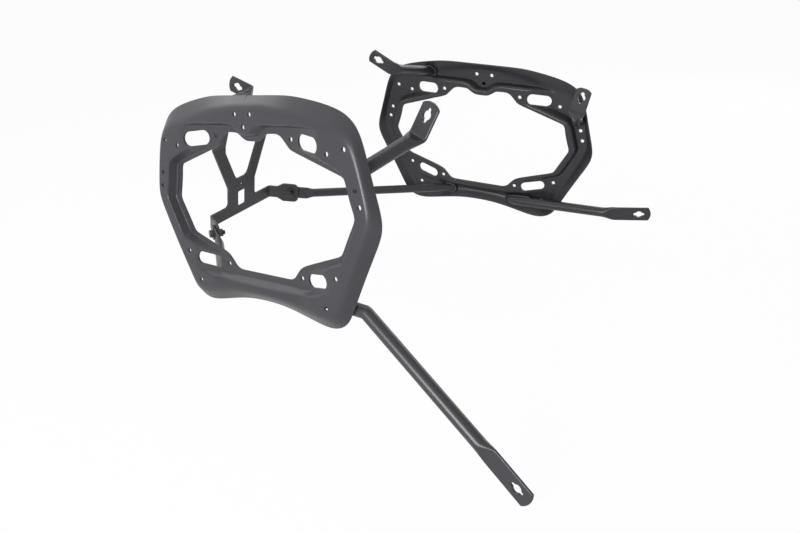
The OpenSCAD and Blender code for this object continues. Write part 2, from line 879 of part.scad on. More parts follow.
module head_washer_left() {
    color(zinc_dark)
    at_joint(1)
    translate([0, 0, head_seat + seat])
    washer();
}

// Height over the outer face at which the brace tubes are cut off in the channel of a ring
BRACE_FLOOR = 8;

// Tube of the cross brace from the point start in the channel of a ring to the plate's end;
// floor_out points out of the tube's cut end
module brace_tube(start, floor_out, side) {
    tip = joint_point(side, -seat - flat_thickness / 2);
    up = plate_dir([0, 1, 0]);
    lie = plate_dir([side * wing_along[0], 0, wing_along[2]]);
    floor_point = start - floor_out * (BRACE_FLOOR - BRACE_SEAT_LEFT[1]);
    flattened_tube([start, tip + lie * 30, tip], arm_tube, tube_flat, 14, up,
        [[floor_point, floor_out]], false, bolt + bolt_clearance);
}

module cross_tube_left() {
    start = left_point(carried([BRACE_SEAT_LEFT], BRACE_SEAT_LEFT)[0]);
    color(coat_dark)
    brace_tube(start, turn_left([0, -1, 0]), 1);
}

module cross_stub_right() {
    start = right_point(carried([BRACE_SEAT_RIGHT], BRACE_SEAT_RIGHT)[0]);
    color(coat_light)
    brace_tube(start, turn_right([0, -1, 0]), -1);
}

ring_right();
ring_left();
forward_strut_right();
forward_strut_left();
front_arm_right();
front_arm_left();
rear_arm_right();
rear_arm_left();
cross_tube_left();
cross_stub_right();
cross_plate();
bolt_right();
bolt_left();
nut_right();
nut_left();
nut_washer_right();
nut_washer_left();
head_washer_right();
head_washer_left();
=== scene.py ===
"""Looks of the pannier frame: pressed rings, flattened tube arms, welds and the bolted cross brace.

Lengths are written in millimetres in the frame of the piece they belong to, and every point goes
through a Stand or the plate's matrix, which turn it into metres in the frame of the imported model.
"""

from __future__ import annotations

import logging
import math
from dataclasses import dataclass, field
from enum import Enum
from typing import Callable, Sequence, Union

import bmesh
import bpy
from mathutils import Matrix, Vector

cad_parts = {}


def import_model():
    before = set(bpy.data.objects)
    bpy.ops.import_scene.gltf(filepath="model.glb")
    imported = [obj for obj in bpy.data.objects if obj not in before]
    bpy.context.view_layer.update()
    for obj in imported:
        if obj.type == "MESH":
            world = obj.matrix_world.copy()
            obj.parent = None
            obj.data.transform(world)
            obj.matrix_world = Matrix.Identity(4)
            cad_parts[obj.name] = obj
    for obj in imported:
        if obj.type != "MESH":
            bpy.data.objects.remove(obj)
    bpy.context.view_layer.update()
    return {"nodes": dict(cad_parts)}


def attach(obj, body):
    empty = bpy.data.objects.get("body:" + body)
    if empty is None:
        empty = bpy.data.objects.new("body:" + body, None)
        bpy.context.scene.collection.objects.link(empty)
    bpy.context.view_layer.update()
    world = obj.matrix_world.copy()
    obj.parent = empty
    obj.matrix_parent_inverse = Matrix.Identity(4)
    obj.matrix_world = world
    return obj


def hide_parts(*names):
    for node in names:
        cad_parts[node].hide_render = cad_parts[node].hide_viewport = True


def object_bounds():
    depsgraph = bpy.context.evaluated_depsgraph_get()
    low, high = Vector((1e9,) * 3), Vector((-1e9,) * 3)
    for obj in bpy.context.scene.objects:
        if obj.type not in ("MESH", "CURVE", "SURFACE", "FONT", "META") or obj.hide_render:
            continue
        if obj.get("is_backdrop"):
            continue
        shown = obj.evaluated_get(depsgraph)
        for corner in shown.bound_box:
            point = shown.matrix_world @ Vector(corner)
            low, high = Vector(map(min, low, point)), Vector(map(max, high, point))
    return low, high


LOG = logging.getLogger("pannier_frame")
MM = 0.001
BODY = "root"
ROUND_FROM = 50.0
"""Smallest angle in degrees of an edge that is rounded off."""

Marks = tuple[tuple[float, float], ...]
Loop = list[Vector]
Value = Union["Signal", bpy.types.NodeSocket, float, Sequence[float]]


class Side(Enum):
    """The two sides of the bike, with the sign of Y on that side."""

    RIGHT = -1
    LEFT = 1

    @property
    def word(self) -> str:
        """Name of the side as the nodes spell it."""
        return self.name.lower()


class Slot(Enum):
    """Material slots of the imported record."""

    COAT = "powder_coat"
    FASTENER = "black_fastener"


def turn(axis: str, degrees: float) -> Matrix:
    """Rotation about one axis.

    Args:
        axis: "X", "Y" or "Z".
        degrees: angle by the right-hand rule.

    Returns:
        The rotation as a 4x4 matrix.
    """
    return Matrix.Rotation(math.radians(degrees), 4, axis)


@dataclass(frozen=True)
class Placing:
    """How the two rings and the cross plate stand, in millimetres and degrees."""

    half_gap: float = 320.6
    lean: float = 6.1
    toe_right: float = 7.05
    toe_left: float = 8.07
    tilt: float = 4.81
    rise: float = 25.2
    lag: float = 8.4
    strut_hole: tuple[float, float, float] = (386.0, 28.5, -295.0)
    plate_middle: tuple[float, float, float] = (-320.0, -25.0, -91.0)
    plate_lean: float = 13.0
    plate_roll: float = 3.7

    def turned(self, side: Side) -> Matrix:
        """Rotation, and mirroring on the left, of a ring's own frame.

        Args:
            side: side of the bike.

        Returns:
            The rotation as a 4x4 matrix.
        """
        if side is Side.RIGHT:
            return turn("Z", -self.toe_right) @ turn("Y", -self.tilt) @ turn("X", -self.lean)
        flip = Matrix.Diagonal((1, -1, 1, 1))
        return flip @ turn("Z", -self.toe_left) @ turn("Y", self.tilt) @ turn("X", -self.lean)

    def step(self) -> Vector:
        """Step from the right ring's middle to the point halfway between the rings."""
        return Vector((self.lag, self.half_gap, -self.rise))

    def right_middle(self) -> Vector:
        """Middle of the right ring, seen from the hole of the right strut."""
        return -(self.turned(Side.RIGHT) @ Vector(self.strut_hole))

    def halfway(self) -> Vector:
        """Point halfway between the rings."""
        return self.right_middle() + self.step()

    def stand(self, side: Side) -> Matrix:
        """Matrix from a ring's own frame in millimetres to the model's frame in metres.

        Args:
            side: side of the bike.

        Returns:
            The matrix that sets a ring in its place.
        """
        middle = self.right_middle() if side is Side.RIGHT else self.halfway() + self.step()
        return Matrix.Scale(MM, 4) @ Matrix.Translation(middle) @ self.turned(side)

    def plate(self) -> Matrix:
        """Matrix from the plate's frame (across, up, to the front) to the model's frame.

        Returns:
            The matrix that sets the plate in its place.
        """
        axes = Matrix(((0, 0, 1, 0), (1, 0, 0, 0), (0, 1, 0, 0), (0, 0, 0, 1)))
        middle = self.halfway() + Vector(self.plate_middle)
        turned = turn("X", self.plate_roll) @ turn("Y", self.plate_lean)
        return Matrix.Scale(MM, 4) @ Matrix.Translation(middle) @ turned @ axes


class Signal:
    """Shader socket that adds its own Math nodes when it is used in an expression."""

    def __init__(self, socket: bpy.types.NodeSocket, nodes: "NodeSheet") -> None:
        """Wraps one output socket of a node sheet."""
        self.socket = socket
        self.nodes = nodes

    def _math(self, operation: str, first: Value, second: Value) -> "Signal":
        """Adds one Math node for two values."""
        return self.nodes.node("ShaderNodeMath", {"operation": operation}, {0: first, 1: second})

    def __add__(self, other: Value) -> "Signal":
        """Sum."""
        return self._math("ADD", self, other)

    def __radd__(self, other: Value) -> "Signal":
        """Sum, the other way round."""
        return self._math("ADD", other, self)

    def __sub__(self, other: Value) -> "Signal":
        """Difference."""
        return self._math("SUBTRACT", self, other)

    def __rsub__(self, other: Value) -> "Signal":
        """Difference, the other way round."""
        return self._math("SUBTRACT", other, self)

    def __mul__(self, other: Value) -> "Signal":
        """Product."""
        return self._math("MULTIPLY", self, other)

    def __rmul__(self, other: Value) -> "Signal":
        """Product, the other way round."""
        return self._math("MULTIPLY", other, self)


class NodeSheet:
    """Node tree of one material or of the world, filled by one method."""

    def __init__(self, owner: Union[bpy.types.Material, bpy.types.World]) -> None:
        """Clears the nodes of the material or world that the sheet is for.

        Args:
            owner: the material or world.
        """
        self.owner = owner
        owner.use_nodes = True
        self.tree = owner.node_tree
        self.tree.nodes.clear()

    @classmethod
    def material(cls, name: str) -> "NodeSheet":
        """Starts an empty material with the given name."""
        return cls(bpy.data.materials.new(name))

    def node(self, kind: str, settings: dict, inputs: dict, output: Union[int, str] = 0) -> Signal:
        """Adds a node.

        Args:
            kind: Blender's name of the node type.
            settings: attributes set first, such as a Math node's operation.
            inputs: socket name or number to a value or a signal.
            output: the output socket that is wanted.

        Returns:
            The wanted output as a signal.
        """
        made = self.tree.nodes.new(kind)
        for key, value in settings.items():
            setattr(made, key, value)
        for key, value in inputs.items():
            socket = made.inputs[key]
            if isinstance(value, Signal):
                self.tree.links.new(value.socket, socket)
            else:
                socket.default_value = value
        return Signal(made.outputs[output], self)

    def noise(self, place: Signal, scale: float, detail: float = 2.0) -> Signal:
        """Noise of the given scale, in features per metre, on the object's own coordinates."""
        return self.node(
            "ShaderNodeTexNoise", {}, {"Vector": place, "Scale": scale, "Detail": detail}, "Fac"
        )

    def close(self, shader: Signal) -> Union[bpy.types.Material, bpy.types.World]:
        """Links the shader to the output.

        Args:
            shader: what the surface is made of.

        Returns:
            The material or world that the sheet is for.
        """
        kind = "Material" if isinstance(self.owner, bpy.types.Material) else "World"
        output = self.tree.nodes.new(f"ShaderNodeOutput{kind}")
        self.tree.links.new(shader.socket, output.inputs["Surface"])
        return self.owner


@dataclass(frozen=True)
class CoatFinish:
    """Fine satin powder coat on steel."""

    name: str
    colour: tuple[float, float, float] = (0.028, 0.028, 0.034)
    roughness: float = 0.36
    specular: float = 0.34
    grain: float = 1500.0
    grain_depth: float = 0.00005
    grain_strength: float = 0.12
    grain_gloss: float = 0.16
    fleck_scale: float = 0.35
    fleck_share: float = 0.4
    cloud: float = 14.0
    cloud_share: float = 0.10
    cloud_gloss: float = 0.10

    def build(self) -> bpy.types.Material:
        """Builds the coat: fine grain in the surface, faint clouds in colour and gloss.

        Returns:
            The finished material.
        """
        sheet = NodeSheet.material(self.name)
        place = sheet.node("ShaderNodeTexCoord", {}, {}, "Object")
        cloud = sheet.noise(place, self.cloud, 3.0)
        grain = sheet.noise(place, self.grain, 3.0)
        fleck = sheet.noise(place, self.grain * self.fleck_scale, 1.0)
        dark = tuple(c * (1 - self.cloud_share) for c in self.colour) + (1.0,)
        pale = tuple(c * (1 + self.cloud_share) for c in self.colour) + (1.0,)
        tone = cloud * (1 - self.fleck_share) + fleck * self.fleck_share
        colour = sheet.node(
            "ShaderNodeMix", {"data_type": "RGBA"}, {"Factor": tone, 6: dark, 7: pale}, 2
        )
        gloss = (
            (grain - 0.5) * self.grain_gloss + (cloud - 0.5) * self.cloud_gloss + self.roughness
        )
        bump = sheet.node(
            "ShaderNodeBump",
            {},
            {"Strength": self.grain_strength, "Distance": self.grain_depth, "Height": grain},
        )
        shader = sheet.node(
            "ShaderNodeBsdfPrincipled",
            {},
            {
                "Base Color": colour,
                "Roughness": gloss,
                "Normal": bump,
                "Specular IOR Level": self.specular,
            },
        )
        return sheet.close(shader)


@dataclass(frozen=True)
class ZincFinish:
    """Blackened zinc of the bolts, nuts and washers."""

    name: str
    colour: tuple[float, float, float] = (0.03, 0.03, 0.032)
    roughness: float = 0.34
    metallic: float = 0.4
    grain: float = 2600.0
    grain_depth: float = 0.00003
    grain_strength: float = 0.3
    scuff: float = 220.0
    scuff_gloss: float = 0.2
    darkest: float = 0.8
    palest: float = 1.5

    def build(self) -> bpy.types.Material:
        """Builds the zinc: a dark metal with fine scuffs in its gloss.

        Returns:
            The finished material.
        """
        sheet = NodeSheet.material(self.name)
        place = sheet.node("ShaderNodeTexCoord", {}, {}, "Object")
        grain = sheet.noise(place, self.grain, 2.0)
        scuff = sheet.noise(place, self.scuff, 4.0)
        dark = tuple(c * self.darkest for c in self.colour) + (1.0,)
        pale = tuple(c * self.palest for c in self.colour) + (1.0,)
        colour = sheet.node(
            "ShaderNodeMix", {"data_type": "RGBA"}, {"Factor": scuff, 6: dark, 7: pale}, 2
        )
        bump = sheet.node(
            "ShaderNodeBump",
            {},
            {"Strength": self.grain_strength, "Distance": self.grain_depth, "Height": grain},
        )
        shader = sheet.node(
            "ShaderNodeBsdfPrincipled",
            {},
            {
                "Base Color": colour,
                "Metallic": self.metallic,
                "Roughness": (scuff - 0.5) * self.scuff_gloss + self.roughness,
                "Normal": bump,
            },
        )
        return sheet.close(shader)


def finished(
    bm: bmesh.types.BMesh,
    name: str,
    material: bpy.types.Material,
    nodes: Sequence[str] = (),
    cutters: Sequence[bpy.types.Object] = (),
    rounding: float = 0.0,
    smooth_to: float = 38.0,
) -> bpy.types.Object:
    """Turns a mesh into a finished piece that rides on the frame.

    Args:
        bm: the mesh, in metres in the model's frame; it is freed here.
        name: name of the piece.
        material: its material.
        nodes: CAD nodes that the piece replaces.
        cutters: closed bodies that are cut out of it and then removed.
        rounding: how far its sharp edges are rounded, in millimetres.
        smooth_to: largest angle in degrees across which the shading stays smooth.

    Returns:
        The object of the piece.
    """
    bmesh.ops.recalc_face_normals(bm, faces=bm.faces[:])
    mesh = bpy.data.meshes.new(name)
    bm.to_mesh(mesh)
    bm.free()
    mesh.materials.append(material)
    piece = bpy.data.objects.new(name, mesh)
    bpy.context.scene.collection.objects.link(piece)
    if rounding > 0:
        round_off = piece.modifiers.new("rounding", "BEVEL")
        round_off.width = rounding * MM
        round_off.segments = 2
        round_off.limit_method = "ANGLE"
        round_off.angle_limit = math.radians(ROUND_FROM)
        round_off.use_clamp_overlap = False
    for cutter in cutters:
        cut = piece.modifiers.new("cut", "BOOLEAN")
        cut.operation = "DIFFERENCE"
        cut.solver = "EXACT"
        cut.object = cutter
    if rounding > 0 or cutters:
        settle(piece)
    for cutter in cutters:
        bpy.data.objects.remove(cutter)
    piece.data.shade_smooth()
    piece.data.set_sharp_from_angle(angle=math.radians(smooth_to))
    weight = piece.modifiers.new("even_shading", "WEIGHTED_NORMAL")
    weight.keep_sharp = True
    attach(piece, BODY)
    if nodes:
        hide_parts(*nodes)
    LOG.info("%s: %d faces", name, len(piece.data.polygons))
    return piece


def settle(piece: bpy.types.Object) -> None:
    """Applies all modifiers of a piece to its mesh.

    Args:
        piece: the piece, which keeps its name and place.
    """
    bpy.context.view_layer.update()
    graph = bpy.context.evaluated_depsgraph_get()
    result = bpy.data.meshes.new_from_object(piece.evaluated_get(graph))
    piece.modifiers.clear()
    piece.data = result


def body_of(bm: bmesh.types.BMesh, name: str) -> bpy.types.Object:
    """Makes a plain helper body, such as a cutter, of a mesh.

    Args:
        bm: the closed mesh; it is freed here.
        name: name of the helper.

    Returns:
        The helper's object, which isn't rendered.
    """
    bmesh.ops.recalc_face_normals(bm, faces=bm.faces[:])
    mesh = bpy.data.meshes.new(name)
    bm.to_mesh(mesh)
    bm.free()
    helper = bpy.data.objects.new(name, mesh)
    bpy.context.scene.collection.objects.link(helper)
    helper.hide_render = True
    return helper


def lofted(loops: Sequence[Loop], closed_across: bool, closed_along: bool) -> bmesh.types.BMesh:
    """Skins a row of loops by extruding the first one through all the others.

    Args:
        loops: rows of points, each with the same number of points.
        closed_across: True where each loop is a closed ring, as round a tube.
        closed_along: True where the last loop meets the first one.

    Returns:
        A mesh whose open ring ends are filled.
    """
    bm = bmesh.new()
    count = len(loops[0])
    if closed_across:
        bmesh.ops.create_circle(bm, segments=count, radius=1.0)
        row = list(bm.verts)
    else:
        row = [bm.verts.new(p) for p in loops[0]]
        for first, second in zip(row, row[1:]):
            bm.edges.new((first, second))
    for vert, point in zip(row, loops[0]):
        vert.co = point
    start = list(row)
    edges = list(bm.edges)
    rest = list(loops[1:]) + ([loops[0]] if closed_along else [])
    for loop in rest:
        made = bmesh.ops.extrude_edge_only(bm, edges=edges)["geom"]
        fresh = {item for item in made if isinstance(item, bmesh.types.BMVert)}
        row = [next(e.other_vert(v) for e in v.link_edges if e.other_vert(v) in fresh) for v in row]
        for vert, point in zip(row, loop):
            vert.co = point
        edges = [item for item in made if isinstance(item, bmesh.types.BMEdge)]
        edges = [e for e in edges if e.verts[0] in fresh and e.verts[1] in fresh]
    if closed_along:
        bmesh.ops.remove_doubles(bm, verts=start + row, dist=1e-7)
    elif closed_across:
        bmesh.ops.contextual_create(bm, geom=start)
        bmesh.ops.contextual_create(bm, geom=row)
    return bm


def drum(
    place: Matrix, radius: float, low: float, high: float, half: float = 0.0
) -> bmesh.types.BMesh:
    """Round or long cutter that stands along local Z.

    Args:
        place: matrix from millimetres in the cutter's frame to the model's frame.
        radius: radius of its ends in millimetres.
        low: lowest Z.
        high: highest Z.
        half: half of the straight stretch along local X; 0 gives a round one.

    Returns:
        The closed mesh.
    """
    bm = bmesh.new()
    bmesh.ops.create_circle(bm, cap_ends=True, segments=40, radius=radius)
    for vert in bm.verts:
        if half > 0:
            vert.co.x += half if vert.co.x > 0 else -half
        vert.co.z = low
    top = bmesh.ops.extrude_face_region(bm, geom=bm.faces[:])["geom"]
    verts = [item for item in top if isinstance(item, bmesh.types.BMVert)]
    bmesh.ops.translate(bm, verts=verts, vec=(0, 0, high - low))
    bmesh.ops.transform(bm, matrix=place, verts=bm.verts[:])
    return bm


def merged(parts: Sequence[bmesh.types.BMesh]) -> bmesh.types.BMesh:
    """Puts several meshes into one.

    Args:
        parts: the meshes; they are freed here.

    Returns:
        The one mesh that holds them all.
    """
    whole = bmesh.new()
    for part in parts:
        mesh = bpy.data.meshes.new("part")
        part.to_mesh(mesh)
        part.free()
        whole.from_mesh(mesh)
        bpy.data.meshes.remove(mesh)
    return whole


def along(point: Vector, direction: Vector, across: Vector) -> Matrix:
    """Frame at a point with Z along a direction and X as near as possible along another.

    Args:
        point: origin of the frame.
        direction: where Z points.
        across: where X should point.

    Returns:
        The frame as a 4x4 matrix.
    """
    z = direction.normalized()
    x = (across - across.dot(z) * z).normalized()
    y = z.cross(x)
    turned = Matrix((x, y, z)).transposed().to_4x4()
    return Matrix.Translation(point) @ turned


def eased(part: float) -> float:
    """Smooth step from 0 to 1."""
    return part * part * (3 - 2 * part)


def rounded(before: Vector, corner: Vector, after: Vector, reach: float, steps: int) -> Loop:
    """Points of a rounding at a corner of a polyline.

    Args:
        before: previous corner.
        corner: the corner that is rounded.
        after: next corner.
        reach: how far the rounding starts from the corner.
        steps: number of stretches on the rounding.

    Returns:
        The points from the start of the rounding to its end.
    """
    first = corner + (before - corner).normalized() * min(reach, 0.45 * (before - corner).length)
    last = corner + (after - corner).normalized() * min(reach, 0.45 * (after - corner).length)
    points = []
    for i in range(steps + 1):
        t = i / steps
        points.append(first.lerp(corner, t).lerp(corner.lerp(last, t), t))
    return points


RING_MARKS: tuple[Marks, ...] = (
    ((0, 142), (0, 128), (0, 92.5), (0, 89.8), (0, 88), (0, 86), (0, 83)),
    ((12, 142), (11, 128), (7.5, 93), (11, 89.8), (11.3, 88), (11.7, 86), (12, 83.3)),
    ((22, 142), (20, 127.6), (15, 100), (19.5, 94), (20, 92.2), (20.3, 90.2), (20.5, 87.8)),
    ((32, 142), (30, 126.6), (22, 105.5), (27.5, 100.8), (27.7, 98.5), (27.9, 96.2), (28, 93.2)),
    ((44, 142), (43, 124.2), (38, 106.3), (39, 102.8), (39, 100), (39, 97), (39, 93.8)),
    ((56, 142), (55, 122.5), (52, 106.3), (52, 102.8), (51, 100), (50, 97), (48.5, 93.8)),
    ((67, 141.8), (66, 121), (63, 106.2), (62.5, 102.8), (60, 98), (58.5, 94), (56, 90.8)),
    ((78, 141.2), (76, 119.4), (73, 106), (72.5, 102.8), (67, 90), (65.2, 86.8), (63, 83.5)),
    ((88, 140.2), (86, 117.4), (83, 106), (82.5, 102.8), (75, 79.5), (73, 77.4), (70.5, 75.2)),
    ((98, 138.8), (96, 115), (93, 105.8), (92.5, 102.9), (88, 75.6), (86.2, 73.6), (81, 71.2)),
    ((108, 137.2), (106, 113), (103, 105.2), (102.5, 103), (100, 73.4), (98.5, 70.8), (93, 67.5)),
    ((120, 135.2), (117, 110.6), (114, 104.4), (113.5, 102.9),
     (111, 71.3), (109, 67.8), (104, 63.9)),
    ((131, 133), (128, 108.2), (125, 103), (124.6, 102), (122, 69.8), (120, 64.8), (116, 60)),
    ((142, 130.5), (139, 105.8), (136, 101), (136, 99), (134, 68.2), (131.5, 60.8), (128.5, 56)),
    ((153, 127.5), (150, 103.2), (147, 98), (147, 94), (146, 64), (143.5, 56.8), (141, 51.9)),
    ((165, 123.3), (161, 100.5), (158, 92), (158, 88), (157, 59.3), (153.5, 53.4), (151, 48.7)),
    ((176, 117.2), (171, 97), (167, 86), (166, 81), (165.5, 55), (161.5, 50.6), (157, 46.7)),
    ((185, 109), (179, 92.5), (173, 80), (171.5, 74), (171, 50), (167.2, 47.7), (160.5, 44.3)),
    ((192.5, 98), (185.5, 86.5), (177, 74), (175, 66), (174.4, 44), (170.8, 43), (162.8, 39.6)),
    ((198.3, 79), (190.8, 78), (182, 66), (178.5, 58), (176.8, 35.5), (173.3, 34.5), (164.3, 31.5)),
    ((204.2, 55), (196.8, 57.5), (188, 49), (182.5, 42), (179.8, 24.5), (176.3, 23.5), (167, 20.5)),
    ((210.3, 31.5), (202, 36), (194, 31), (187.5, 27), (182.8, 13.7), (179.2, 12.7), (170.2, 10)),
    ((216, 12.5), (206, 15.5), (199, 13), (192, 11), (186, 4.5), (182.4, 3.4), (172.8, 2.5)),
    ((219.4, -3), (207.5, 3), (201, 1.5), (194, 0), (187.3, -1.5), (183.6, -3), (173.8, -3.5)),
    ((217.8, -17.5), (204.5, -8.5), (198, -9), (191.5, -8.5),
     (184.6, -8.8), (181, -9.5), (171.6, -9.3)),
    ((209.5, -33.5), (194.5, -30), (190, -27), (184, -24.5),
     (177, -24), (173.4, -24), (163, -24.3)),
    ((197.5, -55), (184, -51), (179.5, -48), (174, -43),
     (168.8, -40.5), (165, -40.2), (154.8, -39.6)),
    ((188.5, -72), (175.5, -68), (171, -65), (167, -58),
     (163.3, -51.5), (159.4, -49.9), (150.5, -47.6)),
    ((180.5, -87), (167.5, -83), (163, -79), (159.5, -71),
     (157, -59.3), (154, -54.8), (147.3, -51.6)),
    ((173, -102), (160, -97), (155, -90), (151.5, -81), (148, -62.9), (146, -57.6), (140.5, -54.4)),
    ((167, -114), (153.5, -109), (148, -98), (144, -89),
     (138.5, -66.2), (136.5, -60.6), (131.5, -57.3)),
    ((161.5, -125), (148, -119.5), (140.5, -101), (138.5, -94.5),
     (130, -69.2), (127.5, -63.6), (122, -60.3)),
    ((156, -134.5), (143, -128), (133, -103.8), (132.4, -101.2),
     (121, -72), (118.5, -66.9), (112.5, -63.3)),
    ((149, -142), (136, -133), (124, -105.8), (123.5, -102.3),
     (111, -74.9), (109, -70.3), (103, -66.4)),
    ((139, -147.8), (126, -134.5), (113, -107.6), (112.5, -103),
     (100, -77.9), (98, -74.1), (93, -69.6)),
    ((126, -150.8), (114, -132.5), (102, -109.4), (101.5, -103.6),
     (88.5, -81.2), (86.5, -77.9), (82, -73.3)),
    ((112, -149.8), (101, -130), (91, -110.8), (90.5, -104), (78, -85), (76, -81.8), (73.2, -77.7)),
    ((97, -147), (88, -128), (80, -112), (79.5, -104.3), (70.5, -90.5), (68.6, -88.2), (66, -85.2)),
    ((82, -143.8), (75, -126), (69, -112.6), (68.5, -104.3),
     (64, -97.5), (62.2, -95.3), (60, -92.5)),
    ((66, -140.5), (61, -124.2), (57, -113), (57, -104.3), (55, -101.8), (53.6, -99.4), (52, -96)),
    ((48, -137), (45, -122.8), (43, -113), (43, -104.3), (42, -102), (41.5, -99.5), (41, -96.2)),
    ((26, -134.2), (25, -121.8), (24, -113), (24, -104.3), (24, -102), (24, -99.5), (24, -96.2)),
    ((0, -133.6), (0, -121.5), (0, -113), (0, -104.3), (0, -102), (0, -99.5), (0, -96.2)),
)
"""Half of the ring from the middle of the top forward and down to the middle of the bottom, read
from the photograph: outer lip, outer bend, edge of the face, foot of the first step, edge of the
gusset, foot of the second step and inner lip, each as x and z."""


@dataclass
class PressedRing:
    """One pressed steel ring with its rolled flange, gussets, slots and fitting holes."""

    side: Side
    stand: Matrix
    material: bpy.types.Material
    depth: float = 13.0
    sheet: float = 3.0
    slope_start: float = 133.0
    slope_end: float = 87.0
    reaches: tuple[float, ...] = (9.0, 3.0, 2.6, 2.2, 2.4)
    lower_reaches: tuple[float, ...] = (11.0, 7.0, 7.0, 3.0, 2.4)
    lower_half_length: float = 96.0
    lower_blend: float = 20.0
    lower_slack: float = 2.4
    bend_steps: tuple[int, ...] = (7, 4, 4, 4, 4)
    between_rows: int = 4
    smoothings: tuple[int, ...] = (14, 12, 8, 3, 2, 2, 2)
    rim: float = 0.7
    fitting_radius: float = 3.25
    middle_hole: float = 102.3
    fitting_holes: Marks = (
        (14.7, 118.8),
        (176.1, 81.1),
        (147.8, 74.6),
        (74.4, 88.0),
        (190.0, 34.1),
        (195.1, 14.9),
        (148.0, -77.7),
        (74.4, -90.7),
        (127.4, -118.8),
    )
    slot_length: float = 44.0
    upper_slot: tuple[float, float, float, float] = (110.0, 84.6, 20.0, -5.0)
    lower_slot: tuple[float, float, float, float] = (109.4, -88.0, 18.0, 9.5)
    cut_in: float = 8.0
    cut_out: float = 6.0

    def slope_depth(self, x: float) -> float:
        """Depth of a gusset at distance x from the middle."""
        share = (self.slope_start - abs(x)) / (self.slope_start - self.slope_end)
        return self.depth * max(0.0, min(1.0, share))

    def corners(self, row: Marks) -> Loop:
        """The seven corners of one section, in the ring's own frame.

        Args:
            row: the seven marks of the section.

        Returns:
            The corners, each set back by its depth.
        """
        first_foot, gusset_edge = (self.slope_depth(row[k][0]) for k in (3, 4))
        depths = (self.depth, 0.0, 0.0, first_foot, gusset_edge, self.depth, self.depth)
        return [Vector((x, w, z)) for (x, z), w in zip(row, depths)]

    def rows(self) -> list[Loop]:
        """Corners of all marked sections round the whole ring."""
        half = [self.corners(row) for row in RING_MARKS]
        return half + [[Vector((-p.x, p.y, p.z)) for p in row] for row in half[-2:0:-1]]

    def smoothed(self, line: Loop, times: int) -> Loop:
        """Draws the points of a closed line toward their neighbours.

        Args:
            line: the points.
            times: how often they are drawn in.

        Returns:
            The smoother line, with the same number of points.
        """
        for _ in range(times):
            line = [
                p * 0.5 + (line[i - 1] + line[(i + 1) % len(line)]) * 0.25
                for i, p in enumerate(line)
            ]
        return line

    def section(self, corners: Loop) -> Loop:
        """One section with every bend rounded, more softly on the lower beam.

        Args:
            corners: the seven corners of the section.

        Returns:
            The points from the outer lip to the inner one.
        """
        points = [corners[0]]
        share = max(0.0, min(1.0, (self.lower_half_length - abs(corners[2].x)) / self.lower_blend))
        share *= 1.0 if corners[2].z < 0 else 0.0
        corners[2] = corners[2] + Vector((0, self.lower_slack * share, 0))
        reaches = [a + (b - a) * share for a, b in zip(self.reaches, self.lower_reaches)]
        bends = zip(corners, corners[1:], corners[2:], reaches, self.bend_steps)
        for before, corner, after, reach, steps in bends:
            points += rounded(before, corner, after, reach, steps)
        points.append(corners[-1])
        return points

    def sections(self) -> list[Loop]:
        """All sections, with further ones set between the marked rows.

        Returns:
            The sections round the ring, each with the same number of points.
        """
        rows = self.rows()
        lines = []
        for k, times in enumerate(self.smoothings):
            line = [
                row[k].lerp(rows[(i + 1) % len(rows)][k], part / self.between_rows)
                for i, row in enumerate(rows) for part in range(self.between_rows)
            ]
            lines.append(self.smoothed(line, times))
        return [self.section(list(corners)) for corners in zip(*lines)]

    def cutter(self) -> bpy.types.Object:
        """All round holes and long slots of the ring as one cutter.

        Returns:
            The cutter in the model's frame.
        """
        through = turn("X", 90)
        bottom = -self.depth - self.cut_in
        parts = []
        holes = [(0.0, self.middle_hole)]
        holes += [(s * x, z) for x, z in self.fitting_holes for s in (-1, 1)]
        for x, z in holes:
            place = self.stand @ Matrix.Translation((x, 0, z)) @ through
            parts.append(drum(place, self.fitting_radius, bottom, self.cut_out))
        for x, z, height, fall in (self.upper_slot, self.lower_slot):
            for s in (-1, 1):
                lying = turn("Y", -s * fall) @ through
                place = self.stand @ Matrix.Translation((s * x, 0, z)) @ lying
                half = (self.slot_length - height) / 2
                parts.append(drum(place, height / 2, bottom, self.cut_out, half))
        return body_of(merged(parts), "ring_cutter")

    def build(self) -> bpy.types.Object:
        """Builds the ring.

        Returns:
            The finished piece, which stands for the CAD ring.
        """
        skin = lofted(self.sections(), closed_across=False, closed_along=True)
        bmesh.ops.recalc_face_normals(skin, faces=skin.faces[:])
        bmesh.ops.transform(skin, matrix=self.stand, verts=skin.verts[:])
        self.face_outward(skin)
        bmesh.ops.solidify(skin, geom=skin.faces[:], thickness=self.sheet * MM)
        return finished(
            skin,
            f"pressed_ring_{self.side.word}",
            self.material,
            nodes=(f"ring_{self.side.word}",),
            cutters=(self.cutter(),),
            rounding=self.rim,
        )

    def face_outward(self, skin: bmesh.types.BMesh) -> None:
        """Turns the skin's faces so that the flat face looks away from the bike.

        Args:
            skin: the open skin of the ring.
        """
        outward = (self.stand.to_3x3() @ Vector((0, -1, 0))).normalized()
        skin.normal_update()
        lean = sum(f.normal.dot(outward) * f.calc_area() for f in skin.faces)
        if lean < 0:
            bmesh.ops.reverse_faces(skin, faces=skin.faces[:])


class Hole(Enum):
    """Mounting hole in a flattened tube end."""

    PROFILED = "round middle with a narrow slot each way"
    ROUND = "plain round hole"


@dataclass(frozen=True)
class Station:
    """One place along the middle line of a tube."""

    point: Vector
    direction: Vector
    past_fold: float


